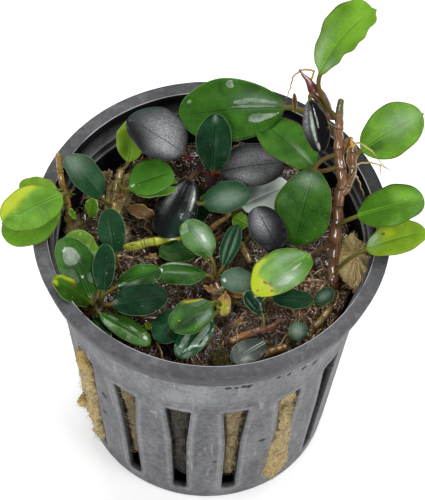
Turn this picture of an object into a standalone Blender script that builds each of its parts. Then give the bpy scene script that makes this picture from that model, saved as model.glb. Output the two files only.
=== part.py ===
"""A bucephalandra clump, rooted in rock wool, in the slotted net pot it is sold in.

Lengths here are millimetres and angles are degrees; linked_object turns lengths into metres.
The origin is the centre of the pot's underside, +Z is up and -Y is the front of the pot.
"""

import math

import bmesh
import bpy
import numpy as np

MM = 0.001
GAP = 0.3

# The pot: a tapered cup with a socket-like rim and a ring of tall slots.
POT_HEIGHT = 50.0
RIM_OUTER, RIM_INNER = 27.5, 25.0
RIM_UNDERSIDE = 46.3
WALL_TOP, WALL_BOTTOM = 24.6, 19.4
WALL = 1.0
FLOOR = 1.2
EDGE_EASE = 0.4
RIM_LIP_DRAFT = 0.9
LEDGE_DROP = 1.3
SEGMENTS = 48
SLOTS = 16
SLOT_TURN = 1.0
SLOT_BOTTOM, SLOT_NECK, SLOT_TOP = 3.5, 21.0, 32.6
SLOT_WIDTH_BOTTOM, SLOT_WIDTH_NECK, SLOT_WIDTH_TOP = 2.2, 2.5, 4.1
DRAINS, DRAIN_WIDTH, DRAIN_INNER, DRAIN_OUTER = 8, 2.4, 7.0, 15.0

# The rock wool plug, which stops short of the floor, and its tufts in two slots.
WOOL_BOTTOM, WOOL_TOP = 5.0, 40.6
WOOL_CLEARANCE = 0.5
WOOL_SEGMENTS = 32
WOOL_SWELL = 0.5
WOOL_SHOULDER = 2.0
WOOL_EDGE = 0.8
WOOL_TOP_RINGS = (16.0, 9.0)
TUFT_DEPTH, TUFT_FULL = 2.5, 0.5
TUFT_HEIGHTS = (4.0, 6.0, 12.0, 20.0, 28.0, 32.0)

# Each tuft: its slot, how far it stands proud of the wall at each height, and how far it
# spreads over the wall on its left and right as seen from outside.
TUFTS = {
    "left": (-3, (0.5, 0.8, 1.1, 1.4, 1.1, 0.6), 1.9, 0.4),
    "right": (1, (0.6, 1.2, 1.2, 0.9, 0.5, 0.4), 0.7, 0.5),
}

# Every blade has this egg-like outline; half its thickness is the last value.
WIDEST, BASE_FULLNESS, TIP_FULLNESS = 0.53, 0.76, 0.57
BLADE_HALF_THICKNESS = 0.24
STALK_RADIUS = 0.36
STALK_BEND = 0.35
SIDES = 8
LARGE_LEAF = 8.0

FINISHES = {
    "fresh": ((0.16, 0.33, 0.03), 0.32),
    "green": ((0.05, 0.17, 0.03), 0.32),
    "dark": ((0.012, 0.075, 0.030), 0.30),
    "black": ((0.018, 0.020, 0.024), 0.28),
    "grey": ((0.10, 0.16, 0.12), 0.30),
}

# Leaves by the shoot they grow on. Each row gives the start of the stalk, the start of the
# blade, its length and width, the heading of its midrib (0 towards +X, 90 towards the back),
# the rise of the midrib there, its droop by the tip, its bank (left side up), its cup and
# its finish.
LEAVES = {
    "tall_shoot": {
        "top": ((17.5, 13.6, 63.7), (15.5, 15.5, 68.5), 13.0, 8.0, 48, 42, 20, -18, 25, "fresh"),
        "right_upper": ((21.9, 8.6, 57.8), (22.3, 9.0, 58.5), 11.0, 8.2, 19, 42, 20, 15, 0, "fresh"),
        "right_middle": ((20.6, 1.5, 48.6), (22.0, 0.0, 54.0), 10.5, 8.0, 7, 27, 20, -5, 5, "fresh"),
        "right_lower": ((20.9, -2.1, 41.0), (23.5, -4.0, 51.0), 9.5, 6.0, 14, 20, 15, 0, 12, "fresh"),
        "front": ((18.0, 8.1, 58.0), (15.5, 6.0, 57.5), 12.5, 9.0, -108, -41, 20, 5, 8, "green"),
        "left": ((17.9, 8.1, 55.7), (15.3, 7.0, 56.0), 13.0, 7.0, 130, 0, 20, -5, 12, "green"),
        "black": ((16.2, 12.0, 62.0), (14.0, 12.0, 67.0), 8.5, 4.0, -68, -43, 15, 8, 5, "black"),
        "back": ((17.3, 11.4, 59.8), (10.0, 18.0, 57.0), 17.0, 10.0, 177, -6, 20, -45, 17, "green"),
        "low": ((17.9, -0.9, 46.5), (15.0, -5.0, 50.5), 11.0, 7.5, -139, 5, 15, 5, 15, "fresh"),
    },
    "dark_shoot": {
        "left": ((-4.2, 13.2, 49.3), (-4.6, 13.2, 49.8), 10.5, 9.0, 154, 23, 15, 0, 15, "black"),
        "upright": ((-0.9, 11.5, 47.8), (-0.2, 10.0, 50.0), 9.0, 5.6, 89, 55, 25, 0, 3, "dark"),
        "right": ((0.0, 11.2, 46.7), (0.7, 11.0, 48.5), 10.5, 7.5, 14, 7, 20, 9, 10, "black"),
        "folded": ((-2.4, 11.5, 46.8), (-3.6, 10.5, 47.0), 10.5, 4.0, -115, -7, 15, 0, 20, "black"),
        "under": ((-1.8, 11.3, 44.4), (-2.2, 10.5, 44.7), 6.5, 5.5, -104, -13, 15, 0, 8, "dark"),
        "front": ((0.2, 9.9, 44.1), (-1.5, 6.0, 47.0), 7.5, 5.5, 6, 24, 15, 7, 8, "dark"),
    },
    "middle": {
        "grey": ((3.0, 6.8, 41.1), (4.5, 7.0, 45.0), 7.5, 5.5, 18, 27, 15, 0, 5, "grey"),
        "black": ((12.3, -2.4, 41.0), (10.5, -4.0, 49.0), 8.0, 5.7, 123, 30, 15, 0, 5, "black"),
        "round": ((5.3, 2.7, 41.5), (5.5, 3.5, 45.0), 2.6, 3.2, 160, 25, 10, 0, 5, "green"),
        "narrow": ((1.4, -4.0, 43.2), (2.0, -3.5, 44.0), 7.0, 3.0, 72, 27, 15, -4, 12, "dark"),
        "pale": ((1.3, -4.8, 43.4), (0.0, -3.5, 46.5), 7.0, 5.0, 128, 23, 20, 2, 9, "green"),
        "low": ((-0.5, -3.0, 42.9), (-2.0, -1.0, 43.5), 6.0, 4.0, 178, 5, 10, 0, 5, "green"),
        "right": ((8.3, -6.2, 40.7), (7.0, -6.0, 44.0), 5.5, 4.2, -172, 16, 10, -7, 10, "dark"),
        "left": ((0.3, -5.6, 43.4), (-0.5, -5.5, 44.5), 8.0, 4.4, 179, 5, 10, 3, -5, "green"),
    },
    "back_left": {
        "yellow": ((-13.6, 12.2, 46.4), (-13.3, 12.9, 47.5), 5.6, 4.8, 94, 46, 15, -4, 25, "fresh"),
        "round": ((-13.9, 9.5, 46.1), (-13.0, 8.0, 47.5), 7.3, 6.5, 18, 20, 15, 0, 20, "green"),
        "under": ((-13.6, 9.7, 44.9), (-12.6, 9.0, 45.5), 7.3, 4.3, 6, 13, 10, 0, 8, "fresh"),
        "dark": ((-16.4, 7.6, 43.6), (-17.2, 6.7, 46.5), 8.5, 5.5, 144, 43, 20, 6, 20, "dark"),
    },
    "left": {
        "large": ((-23.0, 4.2, 49.7), (-23.0, 2.5, 53.0), 11.0, 7.2, -141, 19, 20, -12, 3, "fresh"),
        "behind": ((-23.6, 4.9, 50.7), (-23.8, 4.0, 52.0), 6.0, 3.6, 170, 0, 10, 0, 9, "fresh"),
        "under": ((-22.6, 3.3, 48.2), (-23.5, 2.0, 50.9), 10.5, 7.0, -136, 8, 10, -7, -4, "fresh"),
        "sprout": ((-20.6, 2.2, 44.2), (-18.8, 3.2, 46.5), 3.5, 2.6, 50, 75, 10, 0, 10, "fresh"),
    },
    "front_left": {
        "tall": ((-13.9, -3.1, 40.9), (-14.6, -2.9, 45.5), 7.0, 4.3, 104, 44, 15, 0, 8, "dark"),
        "behind": ((-17.7, -10.1, 44.7), (-17.6, -5.0, 45.6), 6.3, 5.2, 145, 38, 15, -5, 8, "fresh"),
        "large": ((-17.7, -11.0, 44.8), (-17.9, -11.8, 46.5), 10.2, 6.0, 124, 50, 30, 0, 8, "green"),
        "upright": ((-17.0, -11.0, 44.9), (-16.1, -11.2, 47.5), 7.3, 3.5, 88, 47, 15, 0, 6, "dark"),
        "outer": ((-18.7, -11.9, 43.9), (-18.2, -12.7, 47.1), 7.6, 3.6, -176, 53, 15, 3, 0, "fresh"),
        "right": ((-16.4, -11.4, 44.7), (-14.8, -12.8, 46.5), 9.0, 6.0, 12, 11, 15, 0, -8, "dark"),
        "right_behind": ((-16.3, -10.3, 44.1), (-14.2, -8.6, 44.9), 7.3, 4.3, 20, 18, 15, 0, 5, "green"),
        "glossy": ((-16.7, -11.9, 43.8), (-16.4, -13.5, 44.8), 9.0, 4.0, -29, 1, 15, -6, 0, "green"),
        "edge": ((-17.6, -12.3, 42.9), (-17.3, -13.4, 43.6), 5.2, 2.2, -61, 15, 10, -3, 11, "green"),
    },
    "centre": {
        "spotted": ((1.7, -10.4, 43.5), (0.5, -11.5, 46.0), 8.0, 5.6, -137, 11, 15, -6, 4, "green"),
        "behind": ((1.0, -10.3, 43.4), (-3.5, -11.6, 44.0), 7.4, 5.3, -123, 11, 15, 0, 0, "dark"),
        "glossy": ((1.8, -10.9, 42.9), (0.5, -13.0, 44.2), 9.0, 4.5, -122, 10, 15, 0, 6, "dark"),
    },
    "front_right": {
        "folded": ((8.1, -13.2, 44.1), (8.1, -12.1, 44.6), 4.2, 3.0, 138, 35, 10, 0, 20, "dark"),
        "long": ((8.5, -8.2, 41.2), (9.6, -8.5, 43.5), 6.3, 3.8, -4, 8, 10, -4, -5, "dark"),
        "far": ((15.1, -9.2, 41.6), (16.1, -8.7, 43.0), 3.6, 3.0, 19, 33, 10, 0, 4, "dark"),
        "small": ((13.7, -16.5, 41.4), (13.9, -15.9, 43.0), 3.0, 3.0, 98, 39, 10, 0, 6, "dark"),
        "grey": ((9.7, -16.3, 41.1), (8.7, -16.6, 43.5), 6.5, 4.1, -138, 14, 10, 0, 10, "grey"),
    },
}

# Stems: their route from the base up, the radius at each end, and their colour.
BARK = (0.17, 0.07, 0.035)
DARK_BARK = (0.035, 0.015, 0.02)
RUNNER_GREEN = (0.30, 0.36, 0.05)
SHEATH_RED = (0.13, 0.03, 0.03)
STEMS = {
    "tall_stem": (
        [
            (19.1, -4.2, 41.5), (19.0, -2.0, 43.5), (19.1, 1.8, 48.5), (19.2, 4.6, 52.0),
            (19.5, 6.2, 54.3), (19.0, 8.3, 56.8), (18.6, 10.8, 60.0), (18.6, 13.0, 62.9),
        ],
        0.85, 0.6, BARK,
    ),
    "tall_stem_fork": (
        [(20.8, 5.6, 53.8), (21.3, 6.6, 55.0), (21.1, 8.0, 56.8), (20.8, 9.6, 58.8)],
        0.65, 0.45, BARK,
    ),
    "young_leaf_sheath": (
        [(17.2, 12.8, 62.0), (15.9, 13.9, 64.3), (14.0, 15.1, 66.7), (12.2, 16.1, 69.0)],
        0.7, 0.12, SHEATH_RED,
    ),
    "dark_shoot_stem": (
        [
            (0.5, 10.6, 41.6), (-0.4, 11.5, 44.5), (-1.1, 12.1, 46.6),
            (-2.3, 12.6, 48.0), (-3.7, 12.9, 48.9),
        ],
        0.8, 0.5, DARK_BARK,
    ),
    "runner": (
        [
            (-13.4, 0.6, 41.5), (-11.7, 0.8, 42.4), (-9.0, 1.1, 43.1),
            (-6.7, 1.6, 43.3), (-4.7, 2.0, 43.5),
        ],
        0.55, 0.6, RUNNER_GREEN,
    ),
    "left_stem": (
        [
            (-21.2, 1.2, 41.3), (-21.7, 2.8, 44.5), (-22.2, 4.2, 47.0),
            (-22.9, 5.4, 49.5), (-23.3, 6.8, 51.5), (-23.4, 8.4, 53.3),
        ],
        0.6, 0.3, BARK,
    ),
    "back_left_stem": (
        [(-16.1, 7.4, 41.5), (-15.4, 8.6, 43.5), (-14.8, 10.3, 45.4), (-14.4, 11.8, 47.3)],
        0.7, 0.45, BARK,
    ),
    "front_left_crown": (
        [(-18.4, -11.0, 41.4), (-17.8, -10.9, 43.4), (-16.9, -10.7, 44.0)],
        0.75, 0.5, BARK,
    ),
    "centre_rhizome": (
        [(0.4, -3.1, 41.9), (0.8, -5.1, 42.2), (1.5, -7.3, 42.2), (2.0, -9.9, 42.4)],
        0.7, 0.7, BARK,
    ),
    "front_rhizome": (
        [
            (3.3, -15.7, 41.7), (5.7, -14.8, 42.3), (7.9, -14.2, 43.0),
            (9.9, -13.0, 42.8), (11.2, -11.5, 41.9),
        ],
        0.7, 0.6, BARK,
    ),
}
STATIONS_PER_STEM = 9
STEM_ROUGHNESS = 0.35


def new_material(name, colour, roughness):
    material = bpy.data.materials.new(name)
    material.use_nodes = True
    shader = material.node_tree.nodes["Principled BSDF"]
    shader.inputs["Base Color"].default_value = (*colour, 1.0)
    shader.inputs["Roughness"].default_value = roughness
    shader.inputs["Metallic"].default_value = 0.0
    material.diffuse_color = (*colour, 1.0)
    return material


def linked_object(name, points, faces):
    """A new object from points in millimetres, with its faces turned outwards."""
    mesh = bpy.data.meshes.new(name)
    mesh.from_pydata((np.asarray(points) * MM).tolist(), [], faces)
    shape = bmesh.new()
    shape.from_mesh(mesh)
    bmesh.ops.recalc_face_normals(shape, faces=shape.faces)
    shape.to_mesh(mesh)
    shape.free()
    made = bpy.data.objects.new(name, mesh)
    bpy.context.scene.collection.objects.link(made)
    return made


def put_mesh(name, points, faces, material, smooth_angle=40.0):
    """A visible part, smooth apart from edges sharper than smooth_angle."""
    part = linked_object(name, points, faces)
    part.data.materials.append(material)
    part.data.shade_smooth()
    part.data.set_sharp_from_angle(angle=math.radians(smooth_angle))
    return part


def loft(rings, start=None, end=None):
    """Points and faces of closed rings joined in turn; each end is a cap or a single point."""
    rings = np.asarray(rings)
    count, sides = rings.shape[:2]
    points = list(rings.reshape(-1, 3))
    faces = []
    for k in range(count - 1):
        for j in range(sides):
            a, b = k * sides + j, k * sides + (j + 1) % sides
            faces.append((a, b, b + sides, a + sides))
    for tip, ring, turned in ((start, 0, True), (end, count - 1, False)):
        loop = [ring * sides + j for j in range(sides)]
        loop = loop[::-1] if turned else loop
        if tip is None:
            faces.append(tuple(loop))
            continue
        points.append(np.asarray(tip, float))
        faces += [(loop[j], loop[(j + 1) % sides], len(points) - 1) for j in range(sides)]
    return points, faces


def unit(vectors):
    """The vectors at length one."""
    return vectors / np.linalg.norm(vectors, axis=-1, keepdims=True)


def blade_outline(along):
    """Half-width of a blade as a share of its largest: a sine up to WIDEST, a cosine after it."""
    along = np.asarray(along, float)
    rising = np.sin(np.pi / 2 * np.clip(along / WIDEST, 0, 1)) ** BASE_FULLNESS
    falling = np.cos(np.pi / 2 * np.clip((along - WIDEST) / (1 - WIDEST), 0, 1)) ** TIP_FULLNESS
    return np.where(along < WIDEST, rising, falling)


def midrib(base, length, heading, rise, droop, along):
    """Points and directions along a midrib that bends evenly by droop over its length."""
    pitch = np.radians(rise - droop * along)
    turn = math.radians(heading)
    flat = np.cos(pitch)
    towards = np.stack([flat * math.cos(turn), flat * math.sin(turn), np.sin(pitch)], -1)
    steps = np.diff(along)[:, None] * (towards[1:] + towards[:-1]) / 2 * length
    return np.asarray(base) + np.vstack([np.zeros(3), np.cumsum(steps, 0)]), towards


def stalk_route(start, base, direction, along):
    """A quadratic curve from start to base that runs into the blade in its own direction."""
    start, base = np.asarray(start), np.asarray(base)
    bend = base - direction * STALK_BEND * np.linalg.norm(base - start)
    u = along[:, None]
    points = (1 - u) ** 2 * start + 2 * u * (1 - u) * bend + u**2 * base
    return points, unit((1 - u) * (bend - start) + u * (base - bend))


def leaf(name, start, base, length, width, heading, rise, droop, bank, cup, finish):
    """A leaf with its stalk: one loft of flat oval rings along the stalk and the midrib."""
    large = length > LARGE_LEAF
    fine = np.linspace(0, 1, 41)
    stations = np.array([0, 4, 10, 18, 26, 33, 38] if large else [0, 8, 21, 34])
    stalk_stations = np.array([0, 0.35, 0.7] if large else [0, 0.55])
    rib, towards = midrib(base, length, heading, rise, droop, fine)
    side = np.array([-math.sin(math.radians(heading)), math.cos(math.radians(heading)), 0.0])
    over = np.cross(towards[0], side)
    side = math.cos(math.radians(bank)) * side + math.sin(math.radians(bank)) * over
    stalk, stalk_towards = stalk_route(start, base, towards[0], stalk_stations)
    centres = np.vstack([stalk, rib[stations]])
    directions = np.vstack([stalk_towards, towards[stations]])
    on_stalk = np.arange(len(centres)) <= len(stalk)
    blade_width = np.concatenate([np.zeros(len(stalk)), blade_outline(fine[stations]) * width])
    half_width = np.where(on_stalk, STALK_RADIUS, np.maximum(blade_width / 2, STALK_RADIUS))
    half_thick = np.where(on_stalk, STALK_RADIUS, BLADE_HALF_THICKNESS)
    lift = np.where(on_stalk, 0.0, math.tan(math.radians(cup)))
    sides = unit(side - (directions @ side)[:, None] * directions)
    ups = np.cross(directions, sides)
    turn = np.arange(SIDES) * 2 * math.pi / SIDES
    out = half_width[:, None] * np.cos(turn)
    up = half_thick[:, None] * np.sin(turn) + lift[:, None] * np.abs(out)
    rings = centres[:, None] + out[..., None] * sides[:, None] + up[..., None] * ups[:, None]
    points, faces = loft(rings, end=rib[-1])
    return put_mesh(name, points, faces, new_material(name, *FINISHES[finish]))


def smooth_route(knots, count):
    """Points at even steps of a curve that passes through every knot (Catmull-Rom)."""
    knots = np.asarray(knots, float)
    padded = np.vstack([2 * knots[0] - knots[1], knots, 2 * knots[-1] - knots[-2]])
    where = np.linspace(0, len(knots) - 1 - 1e-9, count)
    k = where.astype(int)
    t = (where - k)[:, None]
    a, b, c, d = padded[k], padded[k + 1], padded[k + 2], padded[k + 3]
    square = 2 * a - 5 * b + 4 * c - d
    cube = 3 * b - a - 3 * c + d
    return (2 * b + (c - a) * t + square * t**2 + cube * t**3) / 2


def stem(name, knots, start_radius, end_radius, colour):
    """A round stem that tapers from its start to its end."""
    route = smooth_route(knots, STATIONS_PER_STEM)
    directions = unit(np.gradient(route, axis=0))
    reference = np.array([0.0, 1.0, 0.0]) if abs(directions[0, 1]) < 0.7 else np.array([1.0, 0.0, 0.0])
    sides = unit(np.cross(directions, reference))
    ups = np.cross(directions, sides)
    radii = np.linspace(start_radius, end_radius, STATIONS_PER_STEM)[:, None, None]
    turn = (np.arange(SIDES) * 2 * math.pi / SIDES)[None, :, None]
    rings = route[:, None] + radii * (np.cos(turn) * sides[:, None] + np.sin(turn) * ups[:, None])
    points, faces = loft(rings)
    return put_mesh(name, points, faces, new_material(name, colour, STEM_ROUGHNESS))


def turned(profile, segments):
    """A closed ring-shaped body: the outline (radius, height) carried round the pot's axis."""
    turn = np.arange(segments) * 2 * math.pi / segments
    radius, height = np.asarray(profile, float).T
    rings = np.stack([
        np.outer(np.cos(turn), radius),
        np.outer(np.sin(turn), radius),
        np.outer(np.ones(segments), height),
    ], -1)
    count = len(profile)
    faces = []
    for k in range(segments):
        for j in range(count - 1):
            a, b = k * count + j, (k + 1) % segments * count + j
            faces.append((a, b, b + 1, a + 1))
    faces.append(tuple(k * count for k in range(segments))[::-1])
    faces.append(tuple(k * count + count - 1 for k in range(segments)))
    return rings.reshape(-1, 3), faces


def wall_radius(height):
    """Outside radius of the tapered wall at a height."""
    return WALL_BOTTOM + (WALL_TOP - WALL_BOTTOM) * height / RIM_UNDERSIDE


def pot_profile():
    """The pot's section, from the middle of the underside out, over the rim and down inside."""
    outer = [(WALL_BOTTOM - EDGE_EASE, 0.0), (WALL_BOTTOM, EDGE_EASE), (WALL_TOP, RIM_UNDERSIDE)]
    rim = [
        (RIM_OUTER - RIM_LIP_DRAFT, RIM_UNDERSIDE),
        (RIM_OUTER, POT_HEIGHT - EDGE_EASE),
        (RIM_OUTER - EDGE_EASE, POT_HEIGHT),
        (RIM_INNER + EDGE_EASE, POT_HEIGHT),
        (RIM_INNER, POT_HEIGHT - EDGE_EASE),
        (RIM_INNER - GAP, RIM_UNDERSIDE),
        (WALL_TOP - WALL / 2, RIM_UNDERSIDE - LEDGE_DROP),
        (WALL_TOP - WALL - 0.1, RIM_UNDERSIDE - LEDGE_DROP - WALL),
    ]
    inner = [(wall_radius(FLOOR) - WALL, FLOOR)]
    return outer + rim + inner


def hidden_cutter(name, shapes):
    """One wire-drawn object of several closed shapes, kept out of the render."""
    points, faces = [], []
    for shape_points, shape_faces in shapes:
        faces += [tuple(i + len(points) for i in face) for face in shape_faces]
        points += list(shape_points)
    cutter = linked_object(name, points, faces)
    cutter.hide_render = True
    cutter.display_type = "WIRE"
    return cutter


def slot_turn(number):
    """Angle of a slot from +X, counted from the slot just right of the front."""
    return math.radians(-90 + SLOT_TURN + 360 / SLOTS * (number + 0.5))


def slot_shape(turn):
    """A tall slot through the wall, wide at the top, narrow from its neck down."""
    outward = np.array([math.cos(turn), math.sin(turn), 0.0])
    across = np.array([-math.sin(turn), math.cos(turn), 0.0])
    rows = [
        (SLOT_BOTTOM, SLOT_WIDTH_BOTTOM),
        (SLOT_NECK, SLOT_WIDTH_NECK),
        (SLOT_TOP, SLOT_WIDTH_TOP),
    ]
    outline = [(-width / 2, height) for height, width in rows]
    outline += [(width / 2, height) for height, width in rows[::-1]]
    rings = [
        [outward * depth + across * a + np.array([0, 0, h]) for a, h in outline]
        for depth in (WALL_BOTTOM - 4.0, WALL_TOP + 3.0)
    ]
    return loft(rings)


def drain_shape(turn):
    """A radial slot through the floor."""
    outward = np.array([math.cos(turn), math.sin(turn), 0.0])
    across = np.array([-math.sin(turn), math.cos(turn), 0.0])
    half = DRAIN_WIDTH / 2
    corners = [(DRAIN_INNER, -half), (DRAIN_OUTER, -half), (DRAIN_OUTER, half), (DRAIN_INNER, half)]
    rings = [
        [outward * r + across * a + np.array([0, 0, h]) for r, a in corners]
        for h in (-1.0, FLOOR + 1.0)
    ]
    return loft(rings)


def net_pot():
    """The pot, with its ring of slots and the drains in its floor cut out."""
    points, faces = turned(pot_profile(), SEGMENTS)
    pot = put_mesh("net_pot", points, faces, new_material("net_pot", (0.075, 0.078, 0.082), 0.55), 30.0)
    slots = [slot_shape(slot_turn(k)) for k in range(SLOTS)]
    drains = [drain_shape(math.radians(360 / DRAINS * k)) for k in range(DRAINS)]
    cutter = hidden_cutter("pot_slots", slots + drains)
    cut = pot.modifiers.new("slots", "BOOLEAN")
    cut.operation = "DIFFERENCE"
    cut.object = cutter
    cut.solver = "EXACT"
    return pot


def wool_surface(x, y):
    """Height of the wool's lumpy top: three slow waves that cross one another."""
    waves = np.sin(0.45 * x + 0.8) + np.sin(0.38 * y - 0.6) + np.sin(0.27 * x - 0.33 * y)
    return WOOL_TOP + WOOL_SWELL / 2 * waves


def rock_wool():
    """The plug that holds the roots: a tapered column under a lumpy top."""
    turn = np.arange(WOOL_SEGMENTS) * 2 * math.pi / WOOL_SEGMENTS
    around = np.stack([np.cos(turn), np.sin(turn)], -1)

    def ring(radius, height):
        flat = around * radius
        return np.column_stack([flat, np.full(len(flat), height)])

    def top_ring(radius):
        flat = around * radius
        return np.column_stack([flat, wool_surface(flat[:, 0], flat[:, 1])])

    inside = WALL + WOOL_CLEARANCE
    rings = [
        ring(wall_radius(WOOL_BOTTOM) - inside - WOOL_EDGE, WOOL_BOTTOM),
        ring(wall_radius(WOOL_BOTTOM + WOOL_SHOULDER) - inside, WOOL_BOTTOM + WOOL_SHOULDER),
        ring(wall_radius(WOOL_TOP - WOOL_SHOULDER) - inside, WOOL_TOP - WOOL_SHOULDER),
        top_ring(wall_radius(WOOL_TOP) - inside - WOOL_EDGE),
    ]
    rings += [top_ring(radius) for radius in WOOL_TOP_RINGS]
    points, faces = loft(rings, end=(0.0, 0.0, float(wool_surface(0.0, 0.0))))
    wool = put_mesh("rock_wool", points, faces, new_material("rock_wool", (0.24, 0.16, 0.07), 0.9), 60.0)
    for name, (slot, proud, left, right) in TUFTS.items():
        tuft = wool_tuft("tuft_" + name, slot_turn(slot), proud, left, right)
        join = wool.modifiers.new("tuft_" + name, "BOOLEAN")
        join.operation = "UNION"
        join.object = tuft
        join.solver = "EXACT"
    return wool


def wool_tuft(name, turn, proud, left, right):
    """Wool that fills a slot and swells over its edges, a hair clear of the wall."""
    outward = np.array([math.cos(turn), math.sin(turn), 0.0])
    across = np.array([-math.sin(turn), math.cos(turn), 0.0])
    slot_heights = (SLOT_BOTTOM, SLOT_NECK, SLOT_TOP)
    slot_widths = (SLOT_WIDTH_BOTTOM, SLOT_WIDTH_NECK, SLOT_WIDTH_TOP)
    rings = []
    for z, stands in zip(TUFT_HEIGHTS, proud):
        wall = wall_radius(z)
        half = np.interp(z, slot_heights, slot_widths) / 2 - GAP
        spread = np.clip((stands - GAP) / TUFT_FULL, 0.15, 1)
        inner = wall - WALL - TUFT_DEPTH
        face = wall + GAP
        section = [
            (inner, -half), (face, -half), (face, -half - left * spread),
            (wall + stands, -half / 2), (wall + stands, half / 2),
            (face, half + right * spread), (face, half), (inner, half),
        ]
        rings.append([outward * r + across * a + np.array([0, 0, z]) for r, a in section])
    return hidden_cutter(name, [loft(rings)])


def main():
    for old in list(bpy.data.objects):
        bpy.data.objects.remove(old, do_unlink=True)
    net_pot()
    rock_wool()
    for name, (knots, start_radius, end_radius, colour) in STEMS.items():
        stem(name, knots, start_radius, end_radius, colour)
    for shoot, leaves in LEAVES.items():
        for place, row in leaves.items():
            leaf(f"{shoot}_leaf_{place}", *row)


main()
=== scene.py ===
# %% [markdown]
# # A bucephalandra in its net pot
#
# Bucephalandra is a small, slow plant from stream banks. Shops sell it as a clump of shoots,
# rooted in a plug of rock wool that sits in a tapered plastic cup with tall slots.
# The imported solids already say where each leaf, stem and the pot is. This lesson dresses every
# one of them with a finer surface and a finish, in the same frame: millimetres here, turned
# into metres as each mesh is made, with the front of the pot towards -Y.

import math

import bpy
import numpy as np
from mathutils import Matrix, Vector


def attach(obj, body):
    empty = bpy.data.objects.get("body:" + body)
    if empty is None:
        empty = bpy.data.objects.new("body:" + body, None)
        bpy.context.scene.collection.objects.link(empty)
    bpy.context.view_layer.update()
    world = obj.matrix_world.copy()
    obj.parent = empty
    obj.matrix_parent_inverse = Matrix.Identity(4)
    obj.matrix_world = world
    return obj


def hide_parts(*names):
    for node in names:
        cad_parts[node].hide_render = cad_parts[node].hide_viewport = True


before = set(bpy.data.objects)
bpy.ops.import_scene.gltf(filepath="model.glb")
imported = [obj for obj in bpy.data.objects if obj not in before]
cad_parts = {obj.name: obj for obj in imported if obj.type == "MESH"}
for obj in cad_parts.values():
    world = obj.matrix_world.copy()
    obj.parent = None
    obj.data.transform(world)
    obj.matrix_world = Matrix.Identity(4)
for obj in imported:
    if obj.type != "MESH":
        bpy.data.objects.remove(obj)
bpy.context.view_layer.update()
MM = 0.001


# %% [markdown]
# ## Camera, floor and light
#
# The plant was photographed from the front and well above, with a long lens, on a white table
# under big soft lights. A camera is a position and three directions, so its matrix is written
# out: it looks down by a fixed angle, rolled a little. A white floor and a bright, even world
# give the pale ground with almost no shadow, and large lamps at the sides and behind give the
# wet leaves something broad to mirror.

# %% Camera
TARGET = Vector((0.00025, 0.0, 0.0432))
DISTANCE = 0.5
LOOKING_DOWN = math.radians(56.4)
ROLL = 0.039
LENS, SENSOR = 233.5, 36.0


def look_at(target, distance, down, roll):
    """A camera matrix: `distance` in front of the target and `down` above it, then rolled."""
    ahead = Vector((0, math.cos(down), -math.sin(down)))
    level = Vector((1, 0, 0))
    upright = Vector((0, math.sin(down), math.cos(down)))
    right = math.cos(roll) * level + math.sin(roll) * upright
    up = math.cos(roll) * upright - math.sin(roll) * level
    turn = Matrix((right, up, -ahead)).transposed().to_4x4()
    return Matrix.Translation(target - ahead * distance) @ turn


camera = bpy.data.objects.new("camera", bpy.data.cameras.new("camera"))
camera.data.lens, camera.data.sensor_width = LENS, SENSOR
camera.data.clip_start, camera.data.clip_end = 0.05, 20.0
camera.matrix_world = look_at(TARGET, DISTANCE, LOOKING_DOWN, ROLL)
bpy.context.scene.collection.objects.link(camera)
bpy.context.scene.camera = camera
print("camera at", [round(v, 3) for v in camera.matrix_world.translation])

# %% Room and lamps
ROOM_LIGHT = 0.36
LAMPS = {
    # name: direction from the plant, distance (m), width and height (m), brightness
    "softbox_above": ((0.3, 0.26, 0.92), 0.62, (0.44, 0.4), 2.4),
    "strip_behind": ((0.0, 0.64, 0.77), 0.6, (0.44, 0.14), 8.0),
    "softbox_front_left": ((-0.3, -0.76, 0.57), 0.6, (0.26, 0.2), 8.0),
    "softbox_front_right": ((0.58, -0.42, 0.69), 0.6, (0.2, 0.2), 8.0),
    "fill_left": ((-0.85, -0.1, 0.5), 0.7, (0.3, 0.3), 2.0),
}
LAMPS_FACE = Vector((0, 0, 0.045))

scene = bpy.context.scene
scene.view_settings.view_transform = "Standard"
scene.view_settings.look = "None"
room = bpy.data.worlds.new("room")
room.use_nodes = True
room.node_tree.nodes["Background"].inputs["Color"].default_value = (1, 1, 1, 1)
room.node_tree.nodes["Background"].inputs["Strength"].default_value = ROOM_LIGHT
room.cycles_visibility.glossy = False
scene.world = room


def hang_lamp(name, direction, distance, size, brightness):
    """A rectangular lamp that shines on the plant. Its power is brightness times area times pi."""
    lamp = bpy.data.lights.new(name, "AREA")
    lamp.shape, lamp.size, lamp.size_y = "RECTANGLE", *size
    lamp.energy = brightness * size[0] * size[1] * math.pi
    hung = bpy.data.objects.new(name, lamp)
    towards = Vector(direction).normalized()
    hung.location = LAMPS_FACE + towards * distance
    hung.rotation_euler = towards.to_track_quat("Z", "Y").to_euler()
    scene.collection.objects.link(hung)


for name, settings in LAMPS.items():
    hang_lamp(name, *settings)
print("lamps:", ", ".join(LAMPS))

# %% [markdown]
# ## Finishes as sums
#
# A finish is a small calculation on the surface: take a noise, sharpen it, mix two colours by
# it. Wiring that by hand hides the idea. So a socket is wrapped in a small class whose
# operators add the Math nodes, and one method makes every other node.

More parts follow.
